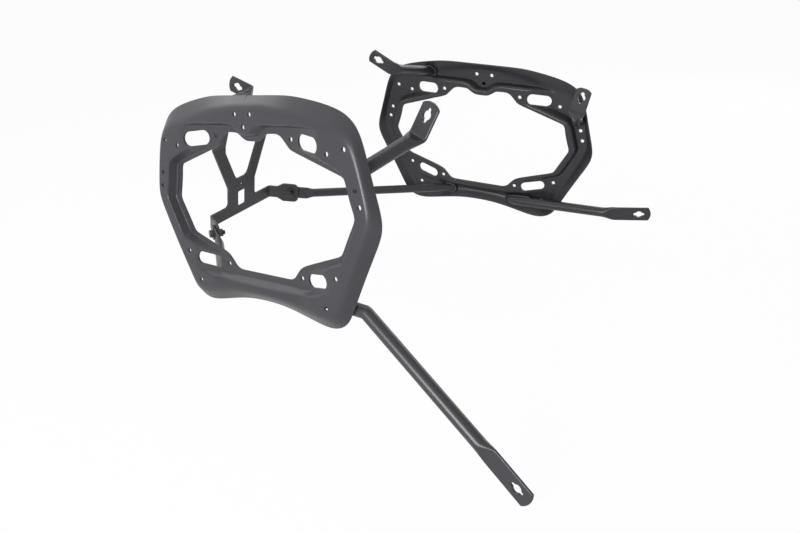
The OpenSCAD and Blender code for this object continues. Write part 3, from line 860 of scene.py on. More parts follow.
@dataclass
class WeldBead:
    """Rippled weld bead laid along a closed line."""

    name: str
    path: Loop
    up: Vector
    material: bpy.types.Material
    radius: float = 2.3
    pitch: int = 4
    ripple: float = 0.16
    around: int = 10

    def build(self) -> bpy.types.Object:
        """Builds the bead; the path is in metres in the model's frame.

        Returns:
            The finished bead.
        """
        count = len(self.path)
        middle = sum(self.path, Vector()) / count
        loops = []
        for i, point in enumerate(self.path):
            tangent = (self.path[(i + 1) % count] - self.path[i - 1]).normalized()
            away = point - middle
            away = (away - away.dot(tangent) * tangent).normalized()
            rise = tangent.cross(away)
            if rise.dot(self.up) < 0:
                rise = -rise
            swell = 1 - self.ripple + self.ripple * abs(math.sin(math.pi * i / self.pitch))
            radius = self.radius * MM * swell
            loops.append([
                point + (away * math.cos(a) + rise * math.sin(a)) * radius
                for a in (2 * math.pi * k / self.around for k in range(self.around))
            ])
        skin = lofted(loops, closed_across=True, closed_along=True)
        return finished(skin, self.name, self.material, smooth_to=70)


@dataclass
class FlattenedTube:
    """Tube with bends, one end cut to stand on sheet and the other pressed flat with a hole."""

    name: str
    node: str
    frame: Matrix
    path: Sequence[Vector]
    across: Vector
    floor: Vector
    floor_out: Vector
    material: bpy.types.Material
    diameter: float = 16.0
    width: float = 24.5
    beyond: float = 16.5
    hole: Hole = Hole.PROFILED
    hole_diameter: float = 12.4
    slot_width: float = 6.2
    slot_length: float = 19.6
    flat: float = 4.0
    flatten_length: float = 22.0
    end_radius: float = 20.0
    bend_reach: float = 6.0
    fold_reach: float = 4.0
    spacing: float = 5.0
    around: int = 36
    arc_steps: int = 6
    end_steps: int = 10
    thinnest: float = 0.8
    clearance: float = 0.4
    bead_radius: float = 2.3
    bead_out: float = 0.5
    bead_up: float = 0.3
    bead_points: int = 4
    nose: float = 0.0
    nose_tip: float = 0.08
    nose_bead_level: float = 0.78

    def stations(self) -> list[Station]:
        """Places along the middle line, close together, with every corner rounded.

        Returns:
            The places from the foot to the rounded end.
        """
        corners = list(self.path)
        fold = len(corners) - 2
        line: Loop = [corners[0]]
        fold_index = 0
        for i in range(1, len(corners) - 1):
            reach = self.fold_reach if i == fold else self.bend_reach
            arc = rounded(*corners[i - 1:i + 2], reach, self.arc_steps)
            line += self.filled(line[-1], arc[0])
            line += arc
            if i == fold:
                fold_index = len(line) - 1 - self.arc_steps // 2
        out = (corners[-1] - corners[-2]).normalized()
        centre = (corners[-1] - corners[-2]).length + self.beyond - self.end_radius
        start = math.sqrt(self.end_radius ** 2 - (self.width / 2) ** 2)
        last = corners[-2] + out * (centre + start)
        line += self.filled(line[-1], last) + [last]
        angle = math.asin(self.width / 2 / self.end_radius)
        for k in range(1, self.end_steps + 1):
            turned = angle * (1 - k / self.end_steps)
            line.append(corners[-2] + out * (centre + self.end_radius * math.cos(turned)))
        travelled = [0.0]
        for a, b in zip(line, line[1:]):
            travelled.append(travelled[-1] + (b - a).length)
        made = []
        for i, point in enumerate(line):
            direction = (line[min(i + 1, len(line) - 1)] - line[max(i - 1, 0)]).normalized()
            made.append(Station(point, direction, travelled[i] - travelled[fold_index]))
        return made

    def filled(self, start: Vector, end: Vector) -> Loop:
        """Points between two ends, no further apart than the spacing."""
        count = max(1, math.ceil((end - start).length / self.spacing))
        return [start.lerp(end, k / count) for k in range(1, count)]

    def half_width(self, past_fold: float) -> float:
        """Half width of the flat part.

        Args:
            past_fold: distance past the fold.

        Returns:
            The half width there, less toward the rounded end.
        """
        reach = (self.path[-1] - self.path[-2]).length
        centre = reach + self.beyond - self.end_radius
        over = past_fold - centre
        if over <= 0:
            return self.width / 2
        room = max(0.0, self.end_radius ** 2 - over ** 2)
        return min(self.width / 2, math.sqrt(room))

    def ring(self, station: Station) -> Loop:
        """Points round the tube: round, partly pressed or flat.

        Args:
            station: the place along the tube.

        Returns:
            The points of the ring there.
        """
        part = (station.past_fold + self.flatten_length) / self.flatten_length
        part = max(0.0, min(1.0, part))
        thick = self.diameter + (self.flat - self.diameter) * eased(part)
        wide = self.diameter + (self.width - self.diameter) * eased(part)
        if station.past_fold > 0:
            wide = max(self.thinnest, 2 * self.half_width(station.past_fold))
        straight = max(0.0, (wide - thick) / 2)
        side = min(thick, wide) / 2
        place = along(station.point, station.direction, self.across)
        points = []
        for k in range(self.around):
            t = 2 * math.pi * (k + 0.5) / self.around
            x = math.copysign(straight, math.cos(t)) + side * math.cos(t)
            points.append(place @ Vector((x, thick / 2 * math.sin(t), 0)))
        return points

    def loops(self) -> list[Loop]:
        """All rings of points, from the rounded nose or the floor that the tube stands on.

        Returns:
            The rings up to the rounded end.
        """
        rings = [(s, self.ring(s)) for s in self.stations()]
        if self.nose > 0:
            return self.nose_rings(*rings[0]) + [r for _, r in rings]
        clear = [
            (s, r)
            for s, r in rings
            if min((p - self.floor).dot(self.floor_out) for p in r) > self.clearance
        ]
        first, points = clear[0]
        slide = first.direction
        foot = [
            p - slide * ((p - self.floor).dot(self.floor_out) / slide.dot(self.floor_out))
            for p in points
        ]
        return [foot] + [r for _, r in clear]

    def nose_shape(self, steps: int) -> list[tuple[float, float]]:
        """Places back from the first section, each with the share of the width that is left."""
        angles = (math.pi / 2 * k / steps for k in range(1, steps + 1))
        return [(self.nose * math.sin(a), max(self.nose_tip, math.cos(a))) for a in angles]

    def nose_rings(self, first: Station, ring: Loop) -> list[Loop]:
        """Rings of the rounded nose, from its tip to the first full section.

        Args:
            first: the first station of the tube.
            ring: the points round the tube there.

        Returns:
            The rings, each smaller and lower than the next.
        """
        down = self.floor_out * (-self.diameter / 2)
        made = []
        for back, share in reversed(self.nose_shape(10)):
            middle = first.point - first.direction * back + down * (1 - share)
            made.append([middle + (p - first.point) * share for p in ring])
        return made

    def nose_line(self, ahead: int = 24) -> Loop:
        """Line of the weld bead round a rounded nose, closed inside the tube.

        Args:
            ahead: how far the bead runs along the full tube, in millimetres.

        Returns:
            The closed line in the tube's frame.
        """
        first = self.stations()[0]
        radius = self.diameter / 2
        side = first.direction.cross(self.floor_out).normalized()
        half = [(float(-k), 1.0) for k in range(ahead, -1, -1)] + self.nose_shape(34)

        def spot(back: float, share: float, sign: int) -> Vector:
            """Point of the bead on one side of the tube."""
            level = radius * (1 - self.nose_bead_level * share)
            return (first.point - first.direction * back + side * (sign * radius * share)
                    - self.floor_out * level)

        line = [spot(back, share, 1) for back, share in half]
        line += [spot(back, share, -1) for back, share in reversed(half)]
        return line + [line[-1].lerp(line[0], k / 12) for k in range(1, 12)]

    def cutters(self) -> list[bpy.types.Object]:
        """Cutters of the mounting hole.

        Returns:
            The round cutter and, for a profiled hole, the slot's.
        """
        out = (self.path[-1] - self.path[-2]).normalized()
        normal = out.cross(self.across).normalized()
        place = self.frame @ along(self.path[-1], normal, out)
        depth = self.flat * 2
        made = [body_of(drum(place, self.hole_diameter / 2, -depth, depth), "hole_cutter")]
        if self.hole is Hole.PROFILED:
            half = (self.slot_length - self.slot_width) / 2
            slot = drum(place, self.slot_width / 2, -depth, depth, half)
            made.append(body_of(slot, "slot_cutter"))
        return made

    def build(self) -> list[bpy.types.Object]:
        """Builds the tube and the weld bead at its foot.

        Returns:
            The finished pieces.
        """
        loops = [[self.frame @ p for p in loop] for loop in self.loops()]
        skin = lofted(loops, closed_across=True, closed_along=False)
        tube = finished(
            skin,
            self.name,
            self.material,
            nodes=(self.node,),
            cutters=self.cutters(),
            smooth_to=50,
        )
        up = (self.frame.to_3x3() @ self.floor_out).normalized()
        if self.nose > 0:
            line = [self.frame @ p for p in self.nose_line()]
        else:
            line = self.bead_line(loops[0], up)
        bead = WeldBead(f"{self.name}_weld", line, up, self.material, radius=self.bead_radius)
        return [tube, bead.build()]

    def bead_line(self, foot: Loop, up: Vector) -> Loop:
        """Line of the weld bead round the foot.

        Args:
            foot: the points of the foot, in the model's frame.
            up: away from the floor that the tube stands on.

        Returns:
            The closed line, a little outside the foot and above its floor.
        """
        middle = sum(foot, Vector()) / len(foot)
        line = []
        for a, b in zip(foot, foot[1:] + foot[:1]):
            for k in range(self.bead_points):
                point = a.lerp(b, k / self.bead_points)
                away = (point - middle).normalized()
                line.append(point + (away * self.bead_out + up * self.bead_up) * MM)
        return line


@dataclass
class CrossPlate:
    """Bent plate between the two brace tubes, with a window and two rising arms."""

    frame: Matrix
    material: bpy.types.Material
    thickness: float = 4.0
    width: float = 162.0
    bar_low: float = -30.0
    bar_height: float = 23.0
    post_width: float = 70.6
    post_fillet: float = 8.0
    fork_low: float = 30.0
    fork_height: float = 103.0
    fork_width: float = 23.0
    fork_foot: float = 17.0
    fork_slope: float = 0.415
    fork_bend: float = 116.0
    fork_top: float = 160.0
    fork_corner: float = 9.0
    fork_clear: float = 60.0
    gap_foot: float = 44.0
    gap_curve: Marks = ((2.0, 8.0), (-2.0, 1.5), (-8.0, -1.5))
    window_width: float = 20.6
    window_height: float = 31.0
    window_corner: float = 3.0
    plate_hole: float = 6.4
    plate_hole_height: float = 28.0
    wing_angle: float = 57.0
    wing_reach: float = 42.7
    lobe_height: float = 37.0
    lobe_reach: float = 15.0
    lobe_corner: float = 9.0
    lobe_root: float = 26.0
    lobe_shoulder: float = 14.0
    bolt_hole: float = 8.8
    horn_angle: float = 13.0
    bend_radius: float = 7.0
    rim: float = 0.5

    @property
    def joint_level(self) -> float:
        """Height of the two brace bolts."""
        return self.bar_low + self.bar_height / 2

    @staticmethod
    def arc(x: float, y: float, radius: float, start: float, end: float, steps: int = 8) -> Loop:
        """Points of an arc in the plate's plane, from one angle to another in degrees."""
        angles = (math.radians(start + (end - start) * k / steps) for k in range(steps + 1))
        return [Vector((x + radius * math.cos(a), y + radius * math.sin(a), 0)) for a in angles]

    @staticmethod
    def both_sides(half: Loop) -> Loop:
        """Closes the outline of one half with its mirror image."""
        return half + [Vector((-p.x, p.y, 0)) for p in reversed(half)]

    def outline(self) -> Loop:
        """Outline of the flat blank, before the ends and the arm tops are bent.

        Returns:
            The closed outline in the plate's plane.
        """
        knee = self.width / 2
        bolt = knee + self.wing_reach
        mid = self.bar_height / 2
        half = self.lobe_height / 2
        tip = bolt + self.lobe_reach - self.lobe_corner
        level = self.joint_level
        bar_top = self.bar_low + self.bar_height
        post = self.post_width / 2
        inner = self.fork_foot + self.fork_slope * (self.fork_height - self.gap_foot)
        breadth = self.fork_width / math.cos(math.atan(self.fork_slope))
        outer = inner + breadth + self.fork_slope * (self.fork_bend - self.fork_height)
        round_top = self.fork_top - self.fork_corner
        root, shoulder = bolt - self.lobe_root, bolt - self.lobe_shoulder
        points = [Vector((root, level - mid, 0)), Vector((shoulder, level - half, 0))]
        points += self.arc(tip, level - half + self.lobe_corner, self.lobe_corner, -90, 0)
        points += self.arc(tip, level + half - self.lobe_corner, self.lobe_corner, 0, 90)
        points += [Vector((shoulder, level + half, 0)), Vector((root, level + mid, 0))]
        corner = post + self.post_fillet
        points += self.arc(corner, bar_top + self.post_fillet, self.post_fillet, 270, 180)
        points += [Vector((post, self.fork_low, 0)), Vector((outer, self.fork_bend, 0))]
        points += self.arc(outer - self.fork_corner, round_top, self.fork_corner, 0, 90)
        points += self.arc(inner + self.fork_corner, round_top, self.fork_corner, 90, 180)
        points.append(Vector((inner, self.fork_height, 0)))
        points += [Vector((self.fork_foot + x, self.gap_foot + y, 0)) for x, y in self.gap_curve]
        return self.both_sides(points)

    def inner_outlines(self) -> list[Loop]:
        """Outlines of the window and of the three round holes.

        Returns:
            The four closed outlines in the plate's plane.
        """
        x = self.window_width / 2 - self.window_corner
        y = self.window_height / 2 - self.window_corner
        window = self.arc(x, -y, self.window_corner, -90, 0, 4)
        window += self.arc(x, y, self.window_corner, 0, 90, 4)
        holes = [self.arc(0, self.plate_hole_height, self.plate_hole / 2, 0, 345, 23)]
        for side in (-1, 1):
            x = side * (self.width / 2 + self.wing_reach)
            holes.append(self.arc(x, self.joint_level, self.bolt_hole / 2, 0, 345, 23))
        return [self.both_sides(window)] + holes

    def blank(self) -> bmesh.types.BMesh:
        """Flat blank of full thickness, with its rims rounded.

        Returns:
            The closed mesh in the plate's frame.
        """
        bm = bmesh.new()
        edges = []
        for outline in [self.outline()] + self.inner_outlines():
            verts = [bm.verts.new(p) for p in outline]
            edges += [bm.edges.new(pair) for pair in zip(verts, verts[1:] + verts[:1])]
        bmesh.ops.triangle_fill(bm, use_beauty=True, use_dissolve=False, edges=edges)
        bmesh.ops.recalc_face_normals(bm, faces=bm.faces[:])
        top = bmesh.ops.extrude_face_region(bm, geom=bm.faces[:])["geom"]
        verts = [item for item in top if isinstance(item, bmesh.types.BMVert)]
        bmesh.ops.translate(bm, verts=verts, vec=(0, 0, self.thickness))
        bmesh.ops.recalc_face_normals(bm, faces=bm.faces[:])
        rims = [e for e in bm.edges if e.is_manifold and e.calc_face_angle() > math.radians(60)
                and abs(e.verts[0].co.z - e.verts[1].co.z) < 1e-6]
        bmesh.ops.bevel(bm, geom=rims, offset=self.rim, offset_type="OFFSET", affect="EDGES",
                        segments=2, profile=0.5, material=-1, clamp_overlap=True)
        return bm

    def bend(self, bm: bmesh.types.BMesh, axis: int, line: float, sign: int, angle: float,
             only: Callable[[Vector], bool]) -> None:
        """Bends all that lies beyond a line toward the front of the plate.

        Args:
            bm: the plate.
            axis: 0 where the line runs upward, 1 where it runs across.
            line: place of the bend along that axis.
            sign: 1 to bend what lies above the line, -1 for what lies below it.
            angle: angle of the bend in degrees.
            only: tells whether a point may move.
        """
        theta = math.radians(angle)
        reach = self.bend_radius * math.tan(theta / 2)
        steps = 6
        normal = Vector((1, 0, 0)) if axis == 0 else Vector((0, 1, 0))
        for k in range(steps + 1):
            place = normal * (line + sign * reach * (2 * k / steps - 1))
            bmesh.ops.bisect_plane(bm, geom=bm.verts[:] + bm.edges[:] + bm.faces[:],
                                   plane_co=place, plane_no=normal, dist=1e-5)
        for vert in bm.verts:
            past = sign * (vert.co[axis] - line)
            if past <= -reach or not only(vert.co):
                continue
            share = min(1.0, (past + reach) / (2 * reach))
            turned = theta * share
            lift = vert.co.z
            flat = -reach + self.bend_radius * math.sin(turned)
            up = self.bend_radius * (1 - math.cos(turned))
            rest = max(0.0, past - reach)
            flat += rest * math.cos(theta) - lift * math.sin(turned)
            up += rest * math.sin(theta) + lift * math.cos(turned)
            vert.co[axis] = line + sign * flat
            vert.co.z = up

    def build(self) -> bpy.types.Object:
        """Builds the plate.

        Returns:
            The finished plate, which stands for the CAD plate.
        """
        bm = self.blank()
        for sign in (-1, 1):
            knee = sign * self.width / 2
            self.bend(bm, 0, knee, sign, self.wing_angle, lambda p: p.y < self.fork_low)
        self.bend(bm, 1, self.fork_bend, 1, self.horn_angle, lambda p: p.y > self.fork_clear)
        bmesh.ops.transform(bm, matrix=self.frame, verts=bm.verts[:])
        return finished(bm, "bent_cross_plate", self.material,
                        nodes=("cross_plate",), smooth_to=35)

    def joint(self, side: Side) -> Matrix:
        """Frame of a brace bolt.

        Args:
            side: side of the bike.

        Returns:
            The frame: origin on the plate's rear face, Z toward the nut, X upward.
        """
        sign = side.value
        theta = math.radians(self.wing_angle)
        mark = Vector((
            sign * (self.width / 2 + self.wing_reach * math.cos(theta)),
            self.joint_level,
            self.wing_reach * math.sin(theta),
        ))
        out = Vector((-sign * math.sin(theta), 0, math.cos(theta)))
        return self.frame @ along(mark, out, Vector((0, 1, 0)))

    def lying(self, side: Side) -> Vector:
        """Direction of the bent end away from its bend, in the plate's frame."""
        theta = math.radians(self.wing_angle)
        return Vector((side.value * math.cos(theta), 0, math.sin(theta)))


@dataclass
class BraceBolt:
    """Hexagon bolt with two washers and a nut, clamping a brace tube to the plate."""

    side: Side
    frame: Matrix
    material: bpy.types.Material
    across: float = 13.0
    shank: float = 8.0
    head: float = 5.3
    nut: float = 6.5
    washer: float = 1.6
    washer_diameter: float = 22.0
    plate: float = 4.0
    tube_flat: float = 4.0
    seat: float = 0.05
    tail: float = 4.0
    pitch: float = 1.25
    thread_depth: float = 0.65
    point_chamfer: float = 0.9
    corner_angle: float = 25.0
    facets: int = 40

    @property
    def head_seat(self) -> float:
        """Level of the underside of the head."""
        return -3 * self.seat - self.tube_flat - self.washer

    @property
    def nut_seat(self) -> float:
        """Level of the underside of the nut."""
        return self.plate + 2 * self.seat + self.washer

    def turned_profile(self, profile: Sequence[tuple[float, float]]) -> bmesh.types.BMesh:
        """Spins an open profile about local Z.

        Args:
            profile: radius and height of each of its points.

        Returns:
            The closed mesh.
        """
        bm = bmesh.new()
        verts = [bm.verts.new((r, 0, z)) for r, z in profile]
        edges = [bm.edges.new(pair) for pair in zip(verts, verts[1:])]
        bmesh.ops.spin(bm, geom=verts + edges, cent=(0, 0, 0), axis=(0, 0, 1), dvec=(0, 0, 0),
                       angle=2 * math.pi, steps=self.facets, use_merge=True)
        bmesh.ops.remove_doubles(bm, verts=bm.verts[:], dist=1e-5)
        return bm

    def hexagon(self, low: float, high: float, chamfer_low: bool) -> bmesh.types.BMesh:
        """Hexagon whose corners are turned off at its top, and at its bottom where asked.

        Args:
            low: lowest level.
            high: highest level.
            chamfer_low: True to turn the lower corners off too.

        Returns:
            The closed mesh.
        """
        bm = bmesh.new()
        flat = self.across / 2
        slope = math.tan(math.radians(self.corner_angle))
        bmesh.ops.create_circle(bm, cap_ends=True, segments=48, radius=1.0)
        for vert in bm.verts:
            angle = math.atan2(vert.co.y, vert.co.x)
            reach = flat / math.cos((angle % (math.pi / 3)) - math.pi / 6)
            vert.co = Vector((math.cos(angle), math.sin(angle), 0)) * reach
        made = bmesh.ops.extrude_face_region(bm, geom=bm.faces[:])["geom"]
        upper = {item for item in made if isinstance(item, bmesh.types.BMVert)}
        for vert in bm.verts:
            drop = max(0.0, vert.co.xy.length - flat * 0.97) * slope
            if vert in upper:
                vert.co.z = high - drop
            else:
                vert.co.z = low + (drop if chamfer_low else 0.0)
        for cap in [f for f in bm.faces if len(f.verts) > 4]:
            level = high if cap.calc_center_median().z > (low + high) / 2 else low
            if level == high or chamfer_low:
                bmesh.ops.inset_region(bm, faces=[cap], thickness=0.01)
                for vert in cap.verts:
                    spot = vert.co.xy.normalized() * flat * 0.95
                    vert.co = Vector((spot.x, spot.y, level))
        return bm

    def threaded_end(self) -> bmesh.types.BMesh:
        """Shank with its threads beyond the nut and a chamfered point.

        Returns:
            The closed mesh.
        """
        top = self.nut_seat + self.nut + self.tail
        outer, inner = self.shank / 2, self.shank / 2 - self.thread_depth
        profile = [(0.0, self.head_seat), (outer, self.head_seat)]
        level = self.nut_seat + self.nut - 1.0
        profile.append((outer, level))
        while level + self.pitch < top - 0.6:
            profile += [(inner, level + self.pitch / 2), (outer, level + self.pitch)]
            level += self.pitch
        profile += [(outer - self.point_chamfer, top), (0.0, top)]
        return self.turned_profile(profile)

    def ring(self, low: float) -> bmesh.types.BMesh:
        """Washer.

        Args:
            low: level that it lies on.

        Returns:
            The closed mesh.
        """
        inner, outer, edge = self.shank / 2 + 0.2, self.washer_diameter / 2, 0.25
        high = low + self.washer
        return self.turned_profile([
            (inner, low), (outer - edge, low), (outer, low + edge), (outer, high - edge),
            (outer - edge, high), (inner, high), (inner, low),
        ])

    def build(self) -> list[bpy.types.Object]:
        """Builds bolt, nut and washers.

        Returns:
            The finished pieces, which stand for the CAD ones.
        """
        word = self.side.word
        head = self.hexagon(-self.head_seat, -self.head_seat + self.head, False)
        bmesh.ops.transform(head, matrix=turn("X", 180), verts=head.verts[:])
        nut = self.hexagon(self.nut_seat, self.nut_seat + self.nut, True)
        nut_washer, head_washer = (
            self.ring(level + self.seat) for level in (self.plate, self.head_seat)
        )
        seats = {
            f"hex_bolt_{word}": (merged([head, self.threaded_end()]), f"bolt_{word}"),
            f"hex_nut_{word}": (nut, f"nut_{word}"),
            f"washer_under_nut_{word}": (nut_washer, f"nut_washer_{word}"),
            f"washer_under_head_{word}": (head_washer, f"head_washer_{word}"),
        }
        made = []
        for name, (bm, node) in seats.items():
            bmesh.ops.transform(bm, matrix=self.frame, verts=bm.verts[:])
            piece = finished(bm, name, self.material, nodes=(node,), smooth_to=24)
            made.append(piece)
        return made


@dataclass
class ArmSet:
    """Struts, upper arms and brace tubes that stand on the two rings."""

    placing: Placing
    plate: CrossPlate
    coat: bpy.types.Material
    sheet: float = 3.0
    seat: float = 0.05
    brace_floor: float = 8.0
    front_diameter: float = 18.0
    front_width: float = 27.5
    front_floor: Vector = field(default_factory=lambda: Vector((184, 0, 50)))
    rear_floor: Vector = field(default_factory=lambda: Vector((-104.8, 9.45, 118.9)))
    rear_floor_out: Vector = field(
        default_factory=lambda: Vector((0.093, 0.878, -0.466)).normalized()
    )
    brace_flat: float = 30.0

    def strut(self, side: Side, path: Sequence[Vector], across: Vector) -> FlattenedTube:
        """Forward strut that lies in the channel of a ring and leaves it at the lower corner.

        Args:
            side: side of the bike.
            path: middle line in the ring's frame, from the nose to the mounting hole.
            across: direction across the flat end.

        Returns:
            The strut.
        """
        out = Vector((0, 1, 0))
        return FlattenedTube(
            f"strut_{side.word}", f"forward_strut_{side.word}", self.placing.stand(side), path,
            across, path[0], out, self.coat, diameter=18.0, width=26.0, beyond=21.0,
            bend_reach=2.5, nose=27.0, bead_radius=2.7,
        )

    def arm(self, kind: str, side: Side, path: Sequence[Vector], **sizes: float) -> FlattenedTube:
        """Upper arm that stands on the back of a ring and folds up at its flat end.

        Args:
            kind: "front" or "rear".
            side: side of the bike.
            path: middle line in the ring's frame, from the foot to the mounting hole.
            sizes: sizes that differ from a plain flattened tube's.

        Returns:
            The arm.
        """
        across = (path[1] - path[0]).cross(path[2] - path[1]).normalized()
        floor, floor_out = self.rear_floor, self.rear_floor_out
        if kind == "front":
            floor = self.front_floor + Vector((0, self.sheet + self.seat, 0))
            floor_out = Vector((0, 1, 0))
        return FlattenedTube(
            f"{kind}_tube_{side.word}", f"{kind}_arm_{side.word}", self.placing.stand(side), path,
            across, floor, floor_out, self.coat, **sizes,
        )

    def brace(self, name: str, node: str, side: Side, start: Vector) -> FlattenedTube:
        """Brace tube from the channel of a ring to the bolt in the plate's end.

        Args:
            name: name of the piece.
            node: the CAD node that it replaces.
            side: side of the bike.
            start: where the middle line starts, in the ring's frame.

        Returns:
            The brace tube.
        """
        stand = Matrix.Scale(1 / MM, 4) @ self.placing.stand(side)
        plate = Matrix.Scale(1 / MM, 4) @ self.plate.frame
        joint = Matrix.Scale(1 / MM, 4) @ self.plate.joint(side)
        tip = joint @ Vector((0, 0, -self.seat - self.plate.thickness / 2))
        lie = (plate.to_3x3() @ self.plate.lying(side)).normalized()
        up = (plate.to_3x3() @ Vector((0, 1, 0))).normalized()
        floor = stand @ Vector((start.x, self.brace_floor, start.z))
        floor_out = (stand.to_3x3() @ Vector((0, 1, 0))).normalized()
        path = [stand @ start, tip + lie * self.brace_flat, tip]
        return FlattenedTube(
            name, node, Matrix.Scale(MM, 4), path, up, floor, floor_out, self.coat, width=24.0,
            beyond=14.0, hole=Hole.ROUND, hole_diameter=8.8, flatten_length=14.0, bead_radius=2.9,
        )

    def tubes(self) -> list[FlattenedTube]:
        """All eight tubes: struts, front arms, rear arms and brace tubes.

        Returns:
            The tubes in that order, the right one first but for the braces.
        """
        right, left = Side.RIGHT, Side.LEFT
        front = {"diameter": self.front_diameter, "width": self.front_width}

        def points(*rows: tuple[float, float, float]) -> list[Vector]:
            """Points of a middle line."""
            return [Vector(row) for row in rows]

        strut_right = points(
            (84, 22.5, -115.0), (172, 25.5, -123.2), (352, 28, -266.8), (386, 28.5, -295)
        )
        strut_left = points((84, 17.3, -120.7), (274, 34.4, -105.5), (317, 26, -102))
        front_right = points((183, -4, 47.5), (206, 100, 86.5), (218, 105, 111))
        front_left = points((182.6, -4, 47), (198.5, 100, 101), (204, 98, 128.5))
        rear_right = points((-101, -3, 114.5), (-135.3, 133.1, 136), (-161.6, 129.2, 146.8))
        rear_left = points((-101, -3, 114.5), (-139, 112, 146), (-164, 115, 160.5))
        return [
            self.strut(right, strut_right, Vector((0.62, 0, 0.78))),
            self.strut(left, strut_left, Vector((0, 0, 1))),
            self.arm("front", right, front_right, **front),
            self.arm("front", left, front_left, **front),
            self.arm("rear", right, rear_right),
            self.arm("rear", left, rear_left, beyond=18.0),
            self.brace("brace_tube_left", "cross_tube_left", left, Vector((-58, 4, -121))),
            self.brace("brace_stub_right", "cross_stub_right", right, Vector((-80, 4, -124.4))),
        ]


@dataclass(frozen=True)
class Lamp:
    """One soft square lamp: place from the object's middle and size in metres, power in watts."""

    name: str
    place: tuple[float, float, float]
    size: float
    power: float


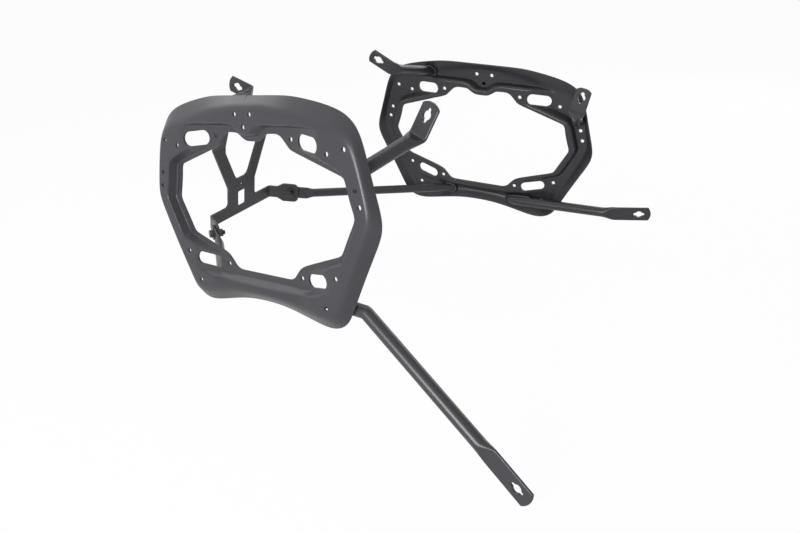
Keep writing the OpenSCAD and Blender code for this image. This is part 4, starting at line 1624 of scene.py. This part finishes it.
@dataclass
class Studio:
    """Camera at the photograph's place, pale floor and soft lights."""

    halfway: Vector
    eye: tuple[float, float, float] = (689.3, -1032.4, 344.5)
    look: tuple[float, float, float] = (-0.5058, 0.7685, -0.3918)
    up: tuple[float, float, float] = (-0.1691, 0.3570, 0.9186)
    focal_pixels: float = 782.2
    image_width: float = 800.0
    sensor: float = 36.0
    floor_size: float = 60.0
    floor_drop: float = 0.002
    floor_white: float = 0.97
    fill_light: float = 0.08
    lamps: tuple[Lamp, ...] = (
        Lamp("left_lamp", (-1.6, -0.3, 1.25), 0.8, 7.0),
        Lamp("top_lamp", (-0.3, 0.1, 1.6), 0.9, 6.0),
        Lamp("near_lamp", (0.12, -2.1, 0.42), 0.8, 54.0),
        Lamp("back_lamp", (0.2, 2.1, 0.9), 1.4, 18.0),
    )

    def camera(self) -> bpy.types.Object:
        """Sets up the camera that was solved from the ring holes in the photograph.

        Returns:
            The camera, which is the scene's own.
        """
        data = bpy.data.cameras.new("photo_camera")
        data.sensor_width = self.sensor
        data.lens = self.sensor * self.focal_pixels / self.image_width
        data.clip_start, data.clip_end = 0.05, 200.0
        camera = bpy.data.objects.new("photo_camera", data)
        bpy.context.scene.collection.objects.link(camera)
        back = -Vector(self.look).normalized()
        right = Vector(self.up).cross(back).normalized()
        above = back.cross(right)
        camera.matrix_world = Matrix((right, above, back)).transposed().to_4x4()
        camera.location = (Vector(self.eye) + self.halfway) * MM
        bpy.context.scene.camera = camera
        return camera

    def floor(self, level: float) -> bpy.types.Object:
        """Pale floor, white to the camera but for faint shadows.

        Args:
            level: height of the lowest point of the object, in metres.

        Returns:
            The floor, which isn't part of the object.
        """
        bm = bmesh.new()
        bmesh.ops.create_grid(bm, x_segments=1, y_segments=1, size=self.floor_size / 2)
        bmesh.ops.translate(bm, verts=bm.verts[:], vec=(0, 0, level - self.floor_drop))
        mesh = bpy.data.meshes.new("floor")
        bm.to_mesh(mesh)
        bm.free()
        floor = bpy.data.objects.new("floor", mesh)
        bpy.context.scene.collection.objects.link(floor)
        sheet = NodeSheet.material("floor_paper")
        paper = sheet.node("ShaderNodeBsdfDiffuse", {}, {"Color": (0.86, 0.86, 0.86, 1.0)})
        white = sheet.node("ShaderNodeEmission", {}, {"Color": (1, 1, 1, 1), "Strength": 1.0})
        share = self.looked_at(sheet) * self.floor_white
        mixed = sheet.node("ShaderNodeMixShader", {}, {0: share, 1: paper, 2: white})
        mesh.materials.append(sheet.close(mixed))
        floor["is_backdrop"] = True
        return floor

    @staticmethod
    def looked_at(sheet: NodeSheet) -> Signal:
        """Tells what the camera sees straight, in a reflection or through glass.

        Args:
            sheet: the sheet that gets the nodes.

        Returns:
            1 for such a ray, else 0.
        """
        camera, glossy, through = (
            sheet.node("ShaderNodeLightPath", {}, {}, f"Is {kind} Ray")
            for kind in ("Camera", "Glossy", "Transmission")
        )
        return camera + glossy + through

    def world(self) -> None:
        """Weak grey light all round, which is seen as plain white."""
        world = bpy.data.worlds.new("studio")
        bpy.context.scene.world = world
        sheet = NodeSheet(world)
        fill = sheet.node("ShaderNodeBackground", {},
                          {"Color": (1, 1, 1, 1), "Strength": self.fill_light})
        white = sheet.node("ShaderNodeBackground", {}, {"Color": (1, 1, 1, 1), "Strength": 1.0})
        seen = self.looked_at(sheet)
        sheet.close(sheet.node("ShaderNodeMixShader", {}, {0: seen, 1: fill, 2: white}))

    def hang(self, lamp: Lamp, middle: Vector) -> None:
        """Hangs one lamp and turns it to the object.

        Args:
            lamp: the lamp.
            middle: middle of the object.
        """
        data = bpy.data.lights.new(lamp.name, "AREA")
        data.shape = "SQUARE"
        data.size = lamp.size
        data.energy = lamp.power
        hung = bpy.data.objects.new(lamp.name, data)
        bpy.context.scene.collection.objects.link(hung)
        away = Vector(lamp.place)
        hung.location = middle + away
        hung.rotation_mode = "QUATERNION"
        hung.rotation_quaternion = (-away).to_track_quat("-Z", "Y")

    def build(self) -> None:
        """Sets the whole stage round the finished object."""
        low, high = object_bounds()
        middle = (low + high) / 2
        self.camera()
        self.floor(low.z)
        self.world()
        for lamp in self.lamps:
            self.hang(lamp, middle)
        bpy.context.scene.view_settings.view_transform = "Standard"


def main() -> None:
    """Builds the pannier frame and its stage."""
    logging.basicConfig(level=logging.INFO, format="%(name)s %(message)s")
    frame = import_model()
    LOG.info("%d nodes to dress", len(frame["nodes"]))
    placing = Placing()
    coat = CoatFinish("charcoal_powder_coat").build()
    zinc = ZincFinish("blackened_zinc").build()
    for side in Side:
        PressedRing(side, placing.stand(side), coat).build()
    plate = CrossPlate(placing.plate(), coat)
    plate.build()
    for tube in ArmSet(placing, plate, coat).tubes():
        tube.build()
    for side in Side:
        BraceBolt(side, plate.joint(side), zinc).build()
    Studio(placing.halfway()).build()


if __name__ == "__main__":
    main()
